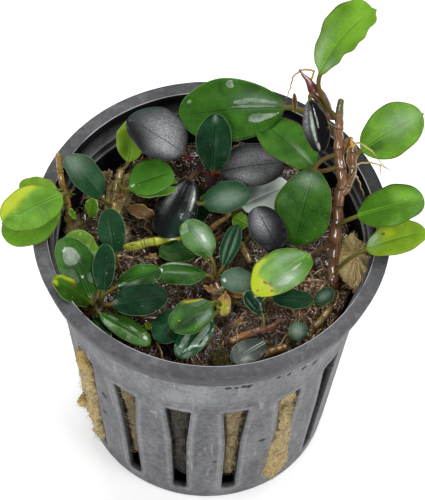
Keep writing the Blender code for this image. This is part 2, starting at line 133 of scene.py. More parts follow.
# %% Tools for finishes
class Value:
    """A number worked out by the shader. Its operators add Math nodes."""

    def __init__(self, finish, socket):
        self.finish, self.socket = finish, socket

    def math(self, operation, *others):
        """A Math node with this value as its first input and the others after it."""
        inputs = dict(enumerate((self, *others)))
        return self.finish.node("ShaderNodeMath", {"operation": operation}, inputs)

    def __add__(self, other):
        return self.math("ADD", other)

    __radd__ = __add__

    def __mul__(self, other):
        return self.math("MULTIPLY", other)

    __rmul__ = __mul__

    def __sub__(self, other):
        return self.math("SUBTRACT", other)

    def __rsub__(self, other):
        return (self * -1.0) + other

    def __abs__(self):
        return self.math("ABSOLUTE")

    def sine(self):
        return self.math("SINE")

    def step(self, low, high):
        """Nought below `low`, one above `high`, a smooth ramp between. `low` may be the larger."""
        inputs = {"Value": self, "From Min": low, "From Max": high}
        return self.finish.node("ShaderNodeMapRange", {"interpolation_type": "SMOOTHSTEP"}, inputs)


class Finish:
    """A material being made: a Principled shader and the nodes that feed it."""

    def __init__(self, name, constants):
        self.material = bpy.data.materials.new(name)
        self.material.use_nodes = True
        self.tree = self.material.node_tree
        self.shader = self.tree.nodes["Principled BSDF"]
        for socket, value in constants.items():
            self.shader.inputs[socket].default_value = value
        self.place = self.node("ShaderNodeTexCoord", output="Object")

    def feed(self, socket, value):
        """Links a worked-out value into a socket, or sets the socket to a constant."""
        if isinstance(value, Value):
            self.tree.links.new(value.socket, socket)
        elif socket.type == "RGBA" and len(value) == 3:
            socket.default_value = (*value, 1.0)
        else:
            socket.default_value = value

    def node(self, kind, settings=None, inputs=None, output=0):
        """A node of this type, with its settings, its inputs fed, and one output returned."""
        made = self.tree.nodes.new(kind)
        for name, setting in (settings or {}).items():
            setattr(made, name, setting)
        for name, value in (inputs or {}).items():
            self.feed(made.inputs[name], value)
        return Value(self, made.outputs[output])

    def noise(self, size, detail=3.0, roughness=0.55, place=None):
        """A cloudy number from 0 to 1 whose lumps are about `size` millimetres across."""
        inputs = {"Vector": place or self.place, "Scale": 1 / (size * MM), "Detail": detail}
        inputs["Roughness"] = roughness
        return self.node("ShaderNodeTexNoise", {}, inputs, "Fac")

    def stretched(self, scale):
        """The place on the piece with each axis multiplied, to draw a pattern out along one."""
        return self.node("ShaderNodeMapping", {}, {"Vector": self.place, "Scale": scale})

    def carried(self, name):
        """A number that the mesh carries at its points."""
        settings = {"attribute_type": "GEOMETRY", "attribute_name": name}
        return self.node("ShaderNodeAttribute", settings, {}, "Fac")

    def mix(self, first, second, share):
        """The first colour turning into the second as the share goes from 0 to 1."""
        return self.node("ShaderNodeMix", {"data_type": "RGBA"}, {0: share, 6: first, 7: second}, 2)

    def layers(self, colour, *coats):
        """A colour under coats of others, the last on top: each is a colour and its share."""
        for coat, share in coats:
            colour = self.mix(colour, coat, share)
        return colour

    def relief(self, height, depth):
        """Feeds the shader's normal with a height, where 1 stands `depth` millimetres proud."""
        inputs = {"Height": height, "Distance": depth * MM, "Strength": 1.0}
        self.feed(self.shader.inputs["Normal"], self.node("ShaderNodeBump", {}, inputs))

    def wear(self, **sockets):
        """Feeds the shader's sockets by name, with _ for a space, and gives the material."""
        for name, value in sockets.items():
            self.feed(self.shader.inputs[name.replace("_", " ")], value)
        return self.material


TABLE_GREY, TABLE_WHITE, TABLE_GLOW = (0.93, 0.93, 0.93), (0.97, 0.97, 0.97), 0.25
floor_finish = Finish("white_table", {
    "Roughness": 0.9, "Specular IOR Level": 0.1,
    "Emission Color": (1, 1, 1, 1), "Emission Strength": TABLE_GLOW,
})
white_table = floor_finish.wear(
    Base_Color=floor_finish.mix(TABLE_GREY, TABLE_WHITE, floor_finish.noise(300.0))
)
print("finish for the table:", len(white_table.node_tree.nodes), "nodes")

# %% [markdown]
# ## Meshes from whole arrays
#
# Every surface here is a grid of points: one parameter runs along it, the other around or
# across it. Numpy works out all points at once. The helpers below turn such grids into closed
# meshes. A mesh also carries numbers at its points, such as how far a point is from the rim of
# its leaf, and the finishes read them, so a vein follows the leaf wherever it bends.

# %% Tools for meshes
def loft_quads(rows, columns):
    """Quads of a grid of rows whose columns close into rings: (row, column) to the next of each."""
    row, column = np.meshgrid(np.arange(rows - 1), np.arange(columns), indexing="ij")
    beside = (column + 1) % columns
    near, far = row * columns, (row + 1) * columns
    return np.stack([near + column, near + beside, far + beside, far + column], -1).reshape(-1, 4)


def fan(ring, pole, turned):
    """Triangles from a ring of point numbers to one pole."""
    ends = np.stack([ring, np.roll(ring, -1), np.full(len(ring), pole)], -1)
    return ends[:, ::-1] if turned else ends


def close_rings(rings, first_pole, last_pole):
    """Points, quads and triangles of a stack of rings with a fan to a point at either end."""
    rows, columns = rings.shape[:2]
    ring, poles = np.arange(columns), rows * columns
    caps = np.vstack([fan(ring, poles, True), fan((rows - 1) * columns + ring, poles + 1, False)])
    points = np.vstack([rings.reshape(-1, 3), first_pole, last_pole])
    return points, loft_quads(rows, columns), caps


def with_poles(numbers):
    """What each ring point carries, and the same for the two poles after them."""
    return {label: np.append(n.ravel(), n.ravel()[[0, -1]]) for label, n in numbers.items()}


def full_turn(count):
    """Evenly spaced angles round a circle, as one row."""
    return np.linspace(0, 2 * math.pi, count, endpoint=False)[None]


def signed_volume(points, faces):
    """Volume within the faces, negative when they point inwards."""
    first = points[faces[:, 0]]
    total = 0.0
    for k in range(1, faces.shape[1] - 1):
        total += np.einsum("ij,ij->", first, np.cross(points[faces[:, k]], points[faces[:, k + 1]]))
    return total / 6


def fill_mesh(name, points, quads, triangles):
    """A mesh from points in millimetres, four-sided faces and three-sided faces."""
    mesh = bpy.data.meshes.new(name)
    corners = np.concatenate([quads.ravel(), triangles.ravel()])
    starts = np.concatenate([
        np.arange(len(quads)) * 4,
        quads.size + np.arange(len(triangles)) * 3,
    ])
    mesh.vertices.add(len(points))
    mesh.vertices.foreach_set("co", (points * MM).astype(np.float32).ravel())
    mesh.loops.add(len(corners))
    mesh.loops.foreach_set("vertex_index", corners.astype(np.int32))
    mesh.polygons.add(len(starts))
    mesh.polygons.foreach_set("loop_start", starts.astype(np.int32))
    mesh.update(calc_edges=True)
    mesh.validate()
    return mesh


NO_TRIANGLES = np.zeros((0, 3), int)


def put_piece(name, shape, finish, slot, stands_for=None, carried=None, crease=None):
    """Puts a closed piece into the scene, facing out, riding on the root and wearing its finish."""
    points, quads, triangles = shape
    if signed_volume(points, quads) + signed_volume(points, triangles) < 0:
        quads, triangles = quads[:, ::-1], triangles[:, ::-1]
    mesh = fill_mesh(name, points, quads, triangles)
    for label, numbers in (carried or {}).items():
        layer = mesh.attributes.new(label, "FLOAT", "POINT")
        layer.data.foreach_set("value", np.asarray(numbers, np.float32).ravel())
    mesh.materials.append(finish)
    mesh.shade_smooth()
    if crease:
        mesh.set_sharp_from_angle(angle=math.radians(crease))
    piece = bpy.data.objects.new(name, mesh)
    scene.collection.objects.link(piece)
    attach(piece, "root")
    if stands_for:
        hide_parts(stands_for)
    return piece


def unit(vectors):
    """The vectors at length one."""
    return vectors / np.linalg.norm(vectors, axis=-1, keepdims=True)


def ripple(points, size, seed, waves=9):
    """Smooth noise from -1 to 1 or so: plane waves of about `size` mm in random directions."""
    rng = np.random.default_rng(seed)
    headings = unit(rng.normal(size=(waves, 3)))
    lengths = size * rng.uniform(0.7, 1.5, waves)
    phases = rng.uniform(0, 2 * math.pi, waves)
    angles = np.tensordot(points, (headings / lengths[:, None]).T * 2 * math.pi, 1) + phases
    return np.sin(angles).sum(-1) / math.sqrt(waves)


def ripples(points, size, seed, waves=9):
    """Three such noises side by side, to push points about."""
    return np.stack([ripple(points, size, seed + k, waves) for k in range(3)], -1)


TABLE_HALF, TABLE_THICK = 1500.0, 10.0
BOX_SIDES = np.array([
    (0, 3, 2, 1), (4, 5, 6, 7), (0, 1, 5, 4), (1, 2, 6, 5), (2, 3, 7, 6), (3, 0, 4, 7),
])


def place_floor():
    """The table: a broad flat slab whose top is the plane that the pot stands on."""
    square = ((-1, -1), (1, -1), (1, 1), (-1, 1))
    points = np.array([
        (x * TABLE_HALF, y * TABLE_HALF, z) for z in (-TABLE_THICK, 0) for x, y in square
    ])
    mesh = fill_mesh("table", points, BOX_SIDES, NO_TRIANGLES)
    mesh.materials.append(white_table)
    slab = bpy.data.objects.new("table", mesh)
    scene.collection.objects.link(slab)


place_floor()
print("table: half a side", TABLE_HALF, "mm, thick", TABLE_THICK, "mm")

# %% [markdown]
# ## The net pot
#
# The cup is thin injection-moulded plastic: a tapered wall, sixteen tall slots that narrow
# towards the bottom, a heavier rim with a ledge inside, and radial drains in its floor.
# A boolean could cut the slots from a turned cup, but its cuts leave ragged faces. Here the
# wall is one grid whose columns run along the slots' own edges. The cells inside a slot are
# simply left out, and the outer and inner skins are joined all round the hole, which gives
# clean edges and rounded corners. Only the plain drains are cut.

# %% Measures of the pot
WALL_LOW, WALL_HIGH = 19.4, 24.6
RIM_BELOW, RIM_TOP = 46.3, 50.0
RIM_OUTER, WALL_THICK = 27.5, 1.0
SLOTS, SLOT_PITCH, FRONT_TURN = 16, 22.5, -89.0
SLOT_HEIGHTS, SLOT_WIDTHS = (3.5, 21.0, 32.6), (2.2, 2.5, 4.1)
CORNER = 0.45
# columns and rows beside a slot's edge, and the raised lip that they carry
LIP = (0.25, 0.55, 0.85, 1.15)
LIP_HEIGHT, LIP_MIDDLE, LIP_WIDTH = 0.1, 0.7, 0.28
SLOT_INSIDE_COLUMNS, RIB_COLUMN = 4, 0.86


def wall_radius(z):
    """Radius of the wall's outside: it widens evenly from the floor to the rim."""
    return WALL_LOW + (WALL_HIGH - WALL_LOW) * np.asarray(z) / RIM_BELOW


def slot_angle(number):
    """Angle of a slot's middle in radians, counted from the slot just right of the front."""
    return np.radians(FRONT_TURN + SLOT_PITCH * (np.asarray(number) + 0.5))


def slot_half_width(z):
    """Half the slot's width: straight between its three stated heights, rounded at its ends."""
    low, _, high = SLOT_HEIGHTS
    half = np.interp(z, SLOT_HEIGHTS, SLOT_WIDTHS) / 2
    from_end = np.clip(np.minimum(z - low, high - z), 0, CORNER)
    return half - CORNER + np.sqrt(CORNER**2 - (CORNER - from_end) ** 2)


def slot_lip(across, z):
    """A low raised band that runs round each slot, a little way out from its edge."""
    low, _, high = SLOT_HEIGHTS
    beside = np.abs(across) - slot_half_width(np.clip(z, low, high))
    beyond = np.maximum(low - z, z - high)
    out = np.maximum(beside, beyond)
    return LIP_HEIGHT * np.exp(-(((out - LIP_MIDDLE) / LIP_WIDTH) ** 2))


# %% The pot's grid
def pot_columns(z):
    """Angles of the columns at each height: along every slot's edges, its lip, and mid-rib."""
    low, _, high = SLOT_HEIGHTS
    half = slot_half_width(np.clip(z, low, high))[:, None]
    radius = wall_radius(np.clip(z, 0, RIM_BELOW))[:, None]
    rib = math.radians(SLOT_PITCH) * radius / 2
    right = np.concatenate([half / 2, half] + [half + step for step in LIP] + [rib * RIB_COLUMN], 1)
    offsets = np.concatenate([-right[:, ::-1], np.zeros_like(half), right, rib], 1)
    turns = offsets[:, None] / radius[:, None] + slot_angle(np.arange(SLOTS))[:, None]
    return turns.reshape(len(z), -1), np.tile(offsets, (1, SLOTS))


def pot_outline():
    """The pot's section as rows: radius, height, and which skin of a slot the row is on."""
    low, neck, high = SLOT_HEIGHTS
    near_low = low + CORNER * np.array([0, 0.12, 0.45, 1.0])
    near_high = high - CORNER * np.array([1.0, 0.45, 0.12, 0])
    slot_rows = np.concatenate([
        near_low, np.linspace(low + CORNER, neck, 12)[1:],
        np.linspace(neck, high - CORNER, 9)[1:-1], near_high,
    ])
    below = low - np.array([2.4, 1.15, 0.85, 0.55, 0.25])
    above = high + np.array([0.25, 0.55, 0.85, 1.15, 3.0, 6.0, 9.0, 12.0])
    outside = np.concatenate([below, slot_rows, above])
    start = [(3.0, 0.0), (12.0, 0.0), (18.6, 0.0), (19.0, 0.0), (19.25, 0.1), (19.38, 0.35)]
    rim = [
        (24.55, 45.9), (24.64, 46.2), (24.8, 46.3), (26.2, 46.3), (26.5, 46.38), (26.64, 46.65),
        (27.0, 48.0), (27.4, 49.55), (27.33, 49.85), (27.05, 50.0), (26.2, 50.0), (25.45, 50.0),
        (25.12, 49.9), (25.0, 49.6), (24.9, 48.5), (24.72, 46.5), (24.6, 46.3), (24.2, 46.2),
        (24.08, 46.05), (24.06, 45.1), (23.9, 44.95), (23.62, 44.9), (23.52, 44.75), (23.48, 44.0),
    ]
    inside = outside[::-1]
    inner_wall = np.stack([wall_radius(inside) - WALL_THICK, inside], -1)[4:-1]
    end = [(18.5, 1.5), (18.2, 1.25), (17.8, 1.2), (12.0, 1.2), (3.0, 1.2)]
    outer_wall = np.stack([wall_radius(outside), outside], -1)
    rows = np.vstack([start, outer_wall, rim, inner_wall, end])
    skin = np.zeros(len(rows), int)
    first = len(start) + len(below)
    skin[first:first + len(slot_rows)] = np.arange(1, len(slot_rows) + 1)
    back = len(start) + len(outer_wall) + len(rim) + len(above) - 4
    skin[back:back + len(slot_rows)] = -np.arange(len(slot_rows), 0, -1)
    return rows, skin


def pot_surface():
    """The pot's shape: (row, column) at (radius cos turn, radius sin turn, height). The cells of
    the slots are left out, and walls join the outer and inner skins round each."""
    rows, skin = pot_outline()
    radius, height = rows[:, :1], rows[:, 1:]
    turns, offsets = pot_columns(rows[:, 1])
    last_outer = np.argmax(skin) + 9
    on_wall = (np.arange(len(rows)) <= last_outer)[:, None] & (height > 0.4)
    out = radius + np.where(on_wall, slot_lip(offsets, height), 0)
    points = np.stack([out * np.cos(turns), out * np.sin(turns), height + 0 * out], -1)
    columns = turns.shape[1]
    per_slot = columns // SLOTS
    first_open = len(LIP) + 1
    last_open = first_open + SLOT_INSIDE_COLUMNS
    column = np.arange(columns) % per_slot
    opened = (column >= first_open) & (column < last_open)
    row_open = ((skin[:-1] > 0) & (skin[1:] > 0)) | ((skin[:-1] < 0) & (skin[1:] < 0))
    poles = np.array([(0, 0, rows[0, 1]), (0, 0, rows[-1, 1])])
    points, quads, caps = close_rings(points, *poles)
    quads = quads.reshape(len(rows) - 1, columns, 4)
    kept = ~(row_open[:, None] & opened)
    outer = np.flatnonzero(skin > 0)
    inner = np.flatnonzero(skin < 0)[::-1]
    walls = []
    for edge, turned in ((first_open, True), (last_open, False)):
        column = np.arange(SLOTS) * per_slot + edge
        a, b = outer[:-1, None] * columns + column, outer[1:, None] * columns + column
        c, d = inner[1:, None] * columns + column, inner[:-1, None] * columns + column
        side = np.stack([a, b, c, d], -1).reshape(-1, 4)
        walls.append(side[:, ::-1] if turned else side)
    across = np.flatnonzero(opened)
    beside = (across + 1) % columns
    for end, turned in ((0, False), (-1, True)):
        a, b = outer[end] * columns + across, outer[end] * columns + beside
        c, d = inner[end] * columns + beside, inner[end] * columns + across
        side = np.stack([a, b, c, d], -1)
        walls.append(side[:, ::-1] if turned else side)
    return points, np.vstack([quads[kept], *walls]), caps


pot_shape = pot_surface()
print("pot:", len(pot_shape[0]), "points,", len(pot_shape[1]), "quads")

# %% [markdown]
# ## The pot's plastic
#
# The plastic is charcoal when new. This one has stood in a nursery: a thin grey bloom of dried
# water lies on the outside, thickest above the slots, with fine scratches, pale dust and dark
# specks. The rim is scuffed and mottled. Pale lines on the slots' lips, the rim's inner edge and
# the ledge are painted highlights, and the rim's back right and a line under the rim carry
# painted shade. Layers of noise at different sizes are enough: clouds for the bloom, noise drawn
# out along one axis for scratches, and high thresholds for specks.

# %% Plastic
CHARCOAL, GREY_FILM, PALE_DUST_AND_HIGHLIGHT = (0.008, 0.008, 0.009), (0.29, 0.295, 0.308), (0.42, 0.42, 0.43)
RIM_DARK, RIM_SCUFF, RIM_PAINTED_SHADE = (0.042, 0.042, 0.045), (0.22, 0.222, 0.23), (0.016, 0.016, 0.018)
RIM_FRONT, INSIDE_DARK, LIME = (0.03, 0.03, 0.033), (0.012, 0.012, 0.014), (0.33, 0.335, 0.345)
BAND = (33.5, 37.0, 41.0, 46.0)  # heights between which the dried film is thickest
UNDER_RIM, LEDGE_TOP, LEDGE_FOOT, INNER_EDGE = 46.45, 46.15, 44.85, 25.2
DARK_DENTS = [
    # angle from +X in degrees, height, size
    (-81.7, 41.6, 0.52), (-78.6, 41.4, 0.46), (-76.0, 41.5, 0.56), (-73.9, 41.3, 0.62),
    (-62.7, 41.2, 0.45), (-58.4, 40.8, 0.45), (-51.5, 40.0, 0.62), (-45.9, 39.3, 0.62),
    (-109.6, 42.3, 0.35), (-135.6, 24.4, 0.7), (-137.6, 17.4, 0.5), (-64.3, 19.1, 0.6),
    (-84.7, 14.2, 0.4),
]
PALE_FLAKES = [
    (-110.4, 29.5, 0.7), (-97.7, 13.5, 0.8), (-100.9, 10.6, 0.7), (-91.2, 16.9, 0.4),
    (-45.3, 13.3, 0.5), (-93.7, 40.4, 2.8), (-101.1, 38.0, 2.4), (-83.2, 43.6, 1.8),
]


def pot_marks(finish, marks):
    """The nearest of some marks: each is a ragged ball about its place on the wall."""
    ragged = (finish.noise(0.9, 4.0, 0.7) - 0.5) * 2.4
    total = None
    for angle, z, size in marks:
        turn, radius = math.radians(angle), wall_radius(z) * MM
        spot = (radius * math.cos(turn), radius * math.sin(turn), z * MM)
        inputs = {0: finish.place, 1: spot}
        far = finish.node("ShaderNodeVectorMath", {"operation": "DISTANCE"}, inputs, 1)
        mark = (far * (1 / (size * MM)) + ragged).step(1.05, 0.75)
        total = mark if total is None else total.math("MAXIMUM", mark)
    return total


def near(value, middle, far, close):
    """One within `close` of a stated value, falling to nought at `far` from it."""
    return abs(value - middle).step(far, close)


def pot_finish():
    """Charcoal plastic under a mottled grey film, with scratches, specks, pale slot borders that
    are a painted highlight on their raised lip, and a darker, scuffed rim whose back right carries
    painted shade. Fine pale lines along the rim's inner edge and the ledge are painted highlights,
    and a dark one under the rim is painted shade."""
    finish = Finish("charcoal_plastic", {"Specular IOR Level": 0.1})
    place = {"Vector": finish.place}
    x, y, z = (finish.node("ShaderNodeSeparateXYZ", {}, place, axis) for axis in "XYZ")
    height = z * (1 / MM)
    # painted shade: the back right of the rim, where less light falls, is darkened in its colour
    back_right = ((x + y) * (0.7 / (RIM_OUTER * MM))).step(0.3, 0.95)
    front = (y * (-1 / (RIM_OUTER * MM))).step(0.82, 0.98)
    outside, lip, reach = (finish.carried(label) for label in ("outside", "lip", "reach"))
    bloom = finish.noise(8.0, 5.0, 0.62)
    runs = finish.noise(2.6, 4.0, 0.6, finish.stretched((1, 1, 0.22)))
    fine = finish.noise(0.8, 4.0, 0.7)
    band = height.step(*BAND[:2]) * height.step(BAND[3], BAND[2])
    film = bloom * 0.45 + runs.step(0.3, 0.7) * 0.2 + fine.step(0.3, 0.7) * 0.3 + band * 0.16 - 0.02
    film = film * outside
    scratch = finish.noise(1.1, 2.0, 0.5, finish.stretched((1, 1, 0.12))).step(0.655, 0.7)
    crossing = finish.noise(1.5, 2.0, 0.5, finish.stretched((0.15, 0.15, 2.5))).step(0.66, 0.71)
    flakes = finish.noise(0.7, 3.0, 0.5).step(0.7, 0.73) * finish.noise(7.0).step(0.52, 0.6)
    speck = finish.noise(0.5, 2.0, 0.5).step(0.7, 0.74) * finish.noise(5.0).step(0.5, 0.58)
    scuff = finish.noise(1.6, 4.0, 0.7).step(0.42, 0.66)
    rim = height.step(45.6, 46.6)
    outer_rim = rim * outside
    scraped = (scratch * 0.5 + crossing * 0.4 + flakes * 0.6) * (1 - rim * 0.75) * outside
    # painted shade: a thin dark line along the rim's lower edge, where the rim shades the wall
    shade_under_rim = near(height, UNDER_RIM, 0.3, 0.12) * reach.step(26.0, 26.6)
    # painted highlights: pale lines on the rim's inner edge and on the two ledge corners inside
    edge = near(reach, INNER_EDGE, 0.11, 0.03) * height.step(49.2, 49.7)
    ledge = near(height, LEDGE_TOP, 0.16, 0.05) + near(height, LEDGE_FOOT, 0.14, 0.05) * 0.7
    colour = finish.layers(
        finish.mix(CHARCOAL, GREY_FILM, film),
        # painted highlight: the raised lip round each slot is painted pale
        (PALE_DUST_AND_HIGHLIGHT, lip * outside * (0.12 + 0.3 * fine)),
        (RIM_DARK, outer_rim * 0.85),
        (RIM_SCUFF, outer_rim * (0.3 + 0.4 * scuff) * (bloom * 1.5 - 0.2)),
        # painted shade on the rim's back right; the next layer makes the rim darker towards the
        # front
        (RIM_PAINTED_SHADE, outer_rim * back_right * 0.8),
        (RIM_FRONT, outer_rim * front * 0.3),
        (INSIDE_DARK, (1 - outside) * 0.45),
        # pale dust in the scratches and flakes, which is real wear
        (PALE_DUST_AND_HIGHLIGHT, scraped * 0.55),
        (LIME, pot_marks(finish, PALE_FLAKES) * outside * (0.15 + 0.35 * fine)),
        (CHARCOAL, (speck + pot_marks(finish, DARK_DENTS)) * 0.9),
        # painted shade under the rim
        (CHARCOAL, shade_under_rim * bloom.step(0.34, 0.56) * 0.75),
        # painted highlights on the rim's inner edge and the ledge
        (PALE_DUST_AND_HIGHLIGHT, (edge * 0.85 + ledge * (1 - outside) * 0.6) * bloom.step(0.3, 0.5)),
    )
    finish.relief(fine * 0.6 + runs * 0.4 + scratch * -0.6 + crossing * -0.4 + flakes * 0.4, 0.06)
    rough = 0.36 + 0.3 * fine + 0.1 * film + (1 - outside) * 0.2
    return finish.wear(Base_Color=colour, Roughness=rough)


def pot_carried(points):
    """What the cup's points carry: `outside` is one on the outer skin and the rim and falls to
    nought within, `reach` is the radius, and `lip` is one on the raised band round a slot."""
    z = points[:, 2]
    reach = np.hypot(points[:, 0], points[:, 1])
    skin = np.clip((reach - wall_radius(np.clip(z, 0, RIM_BELOW)) + 0.6) / 0.4, 0, 1)
    on_rim = np.where(z > RIM_TOP - 0.6, reach > INNER_EDGE, reach > 25.6)
    turn = np.degrees(np.arctan2(points[:, 1], points[:, 0])) - FRONT_TURN
    across = np.radians((turn % SLOT_PITCH) - SLOT_PITCH / 2) * reach
    return {
        "outside": np.where(z < 47, skin, on_rim),
        "reach": reach,
        "lip": slot_lip(across, z) / LIP_HEIGHT,
    }


pot = put_piece(
    "slotted_cup", pot_shape, pot_finish(), "net_pot", "net_pot",
    pot_carried(pot_shape[0]), crease=35.0,
)

# %% Drains in the floor
DRAINS, DRAIN_HALF, DRAIN_REACH, DRAIN_HEIGHTS = 8, 1.2, (7.0, 15.0), (-1.0, 2.4)


def cut_drains(cup):
    """Takes eight radial boxes out of the floor and keeps the result as the cup's own mesh."""
    turn = np.arange(DRAINS) * 2 * math.pi / DRAINS
    along = np.stack([np.cos(turn), np.sin(turn), 0 * turn], -1)
    beside = np.stack([-np.sin(turn), np.cos(turn), 0 * turn], -1)
    near_end, far_end = DRAIN_REACH
    square = (
        (near_end, -DRAIN_HALF), (far_end, -DRAIN_HALF),
        (far_end, DRAIN_HALF), (near_end, DRAIN_HALF),
    )
    corners = [
        r * along + a * beside + np.array([0, 0, z]) for z in DRAIN_HEIGHTS for r, a in square
    ]
    quads = (BOX_SIDES[None] + 8 * np.arange(DRAINS)[:, None, None]).reshape(-1, 4)
    mesh = fill_mesh("drain_boxes", np.stack(corners, 1).reshape(-1, 3), quads, NO_TRIANGLES)
    cutter = bpy.data.objects.new("drain_boxes", mesh)
    scene.collection.objects.link(cutter)
    cut = cup.modifiers.new("drains", "BOOLEAN")
    cut.operation, cut.object, cut.solver = "DIFFERENCE", cutter, "EXACT"
    graph = bpy.context.evaluated_depsgraph_get()
    finished = bpy.data.meshes.new_from_object(cup.evaluated_get(graph))
    cup.modifiers.clear()
    cup.data = finished
    bpy.data.objects.remove(cutter)


cut_drains(pot)
print("cup with drains:", len(pot.data.polygons), "faces")

# %% [markdown]
# ## Where the stems run
#
# The shoots creep and branch. Each stem is stated as a few points that its middle passes
# through, the radius at its start and end, and its bark. A Catmull-Rom curve joins the points
# smoothly: it passes through every one of them. The routes come before the leaves, because a
# leaf's stalk, a fork and a sheath all start on the nearest stem.

# %% Where the stems run
STEMS = {
    "tall_stem": (
        [(19.2, -5, 40.9), (19, -2.2, 43.3), (19.1, 1.8, 48.5), (19.2, 4.6, 52), (19.5, 6.2, 54.3),
        (19, 8.3, 56.8), (18.6, 10.8, 60), (18.6, 13, 62.9)],
        1, 0.72, "bark",
    ),
    "tall_stem_fork": (
        [(19.3, 4.9, 52.4), (20.2, 5.4, 53.4), (21, 6.5, 55), (21.1, 8, 56.8), (20.8, 9.6, 58.8)],
        0.72, 0.52, "bark",
    ),
    "young_leaf_sheath": (
        [(17.2, 12.8, 62), (15.9, 13.9, 64.3), (14, 15.1, 66.7), (12.2, 16.1, 69)],
        0.5, 0.1, "sheath",
    ),
    "dark_shoot_stem": (
        [(0.5, 10.6, 41.6), (-0.4, 11.5, 44.5), (-1.1, 12.1, 46.6), (-2.3, 12.6, 48),
        (-3.7, 12.9, 48.9)],
        1, 0.72, "dark_bark",
    ),
    "runner": (
        [(-13.4, 0.6, 41.5), (-11.7, 0.8, 42.4), (-9, 1.1, 43.1), (-6.7, 1.6, 43.3),
        (-4.7, 2, 43.5)],
        0.72, 0.68, "runner",
    ),
    "left_stem": (
        [(-21.2, 1.2, 41.3), (-21.7, 2.8, 44.5), (-22.2, 4.2, 47), (-22.9, 5.4, 49.5),
        (-23.5, 7, 52), (-24, 9, 54.9)],
        0.65, 0.42, "golden_bark",
    ),
    "back_left_stem": (
        [(-16.1, 7.4, 41.5), (-15.4, 8.6, 43.5), (-14.8, 10.3, 45.4), (-14.4, 11.8, 47.3)],
        0.95, 0.6, "young_bark",
    ),
    "front_left_crown": (
        [(-18.4, -11, 41.4), (-17.8, -10.9, 43.4), (-16.9, -10.7, 44)],
        0.75, 0.5, "red_bark",
    ),
    "centre_rhizome": (
        [(0.4, -3.1, 41.9), (0.8, -5.1, 42.2), (1.5, -7.3, 42.2), (2, -9.9, 42.4)],
        0.7, 0.7, "bark",
    ),
    "front_rhizome": (
        [(3.3, -15.7, 41.7), (5.7, -14.8, 42.3), (7.9, -14.2, 43), (9.9, -13, 42.8),
        (11.2, -11.5, 41.9)],
        0.64, 0.38, "red_bark",
    ),
}
TWIGS = {
    "cut_stub": (
        [(18.6, 11.8, 61.3), (18.65, 13, 62.9), (18.9, 14.1, 64.6)],
        0.68, 0.52, "olive_bark",
    ),
    "back_twig": (
        [(-2.8, 11.9, 47.5), (-3.7, 10.9, 47), (-4.2, 9.6, 46.4)], 0.4, 0.25, "dark_bark",
    ),
    "olive_twig": (
        [(15, -14.6, 42), (16.3, -12.7, 42.4), (17.6, -11, 42.8), (18.6, -9, 42.6)],
        0.62, 0.52, "young_bark",
    ),
    "front_twig": (
        [(8.6, -18.2, 42.6), (10.3, -17.6, 42.9), (12.2, -16.7, 42.8)],
        0.66, 0.6, "golden_bark",
    ),
    "middle_twig": ([(4.5, 1.9, 42.6), (5.3, 0, 43), (6.2, -2.1, 43.2)], 0.6, 0.45, "young_bark"),
    "golden_twig": (
        [(-0.6, 2.7, 43.8), (0.4, 3.4, 45), (1.5, 4, 45.6), (2.9, 5.2, 45.9)],
        0.5, 0.35, "golden_bark",
    ),
    "low_root": ([(0.3, 2.1, 42.5), (1.5, 2.8, 43), (3, 3.5, 43.5)], 0.35, 0.2, "bark"),
    "orange_bud": ([(20.8, 9.4, 58.7), (20.75, 9.9, 59.3), (20.6, 10.4, 60)], 0.5, 0.1, "bud"),
}
JOINED_STEMS = ("young_leaf_sheath", "back_twig")  # these start inside the stem that carries them
BELLIES = {"young_leaf_sheath": 0.68}  # a swelling between the two ends
NEAR_A_STEM, ROUTE_POINTS = 3.2, 120
print("stems:", len(STEMS), "twigs:", len(TWIGS))


# %% Routes
def smooth_route(knots, count):
    """Even steps of a Catmull-Rom curve: each stretch is a cubic that leans on four knots."""
    knots = np.asarray(knots, float)
    padded = np.vstack([2 * knots[0] - knots[1], knots, 2 * knots[-1] - knots[-2]])
    where = np.linspace(0, len(knots) - 1 - 1e-9, count)
    k = where.astype(int)
    t = (where - k)[:, None]
    a, b, c, d = padded[k], padded[k + 1], padded[k + 2], padded[k + 3]
    square = 2 * a - 5 * b + 4 * c - d
    cube = 3 * b - a - 3 * c + d
    return (2 * b + (c - a) * t + square * t**2 + cube * t**3) / 2


STEM_ROUTES = {name: smooth_route(row[0], ROUTE_POINTS) for name, row in STEMS.items()}


def onto_stem(place, leave_out=""):
    """The nearest point of any stem's middle, or the place itself where no stem is near."""
    routes = np.vstack([route for name, route in STEM_ROUTES.items() if name != leave_out])
    far = np.linalg.norm(routes - np.asarray(place), axis=1)
    return tuple(routes[far.argmin()]) if far.min() < NEAR_A_STEM else tuple(place)


print("routes:", len(STEM_ROUTES), "of", ROUTE_POINTS, "points")

# %% [markdown]
# ## Leaves
#
# A leaf is an oval blade on a thin stalk. Its blade has a fixed outline that swells as a sine
# and closes as a cosine, bends down a little along its midrib, is cupped or arched across, and
# ruffles at its rim. All of that is one surface: for each step along the leaf there is a ring,
# round on the stalk and thin and flat on the blade. Doing it as one formula keeps the leaf
# closed and lets the veins, the rim and the marks be stated in the leaf's own measures.
#
# Each row below is a leaf, by the shoot it grows on: the start of its stalk, the start of its
# blade, its length and width, the heading of its midrib (0 towards +X, 90 to the back), its
# rise, its droop by the tip, its bank, its cup and its kind.

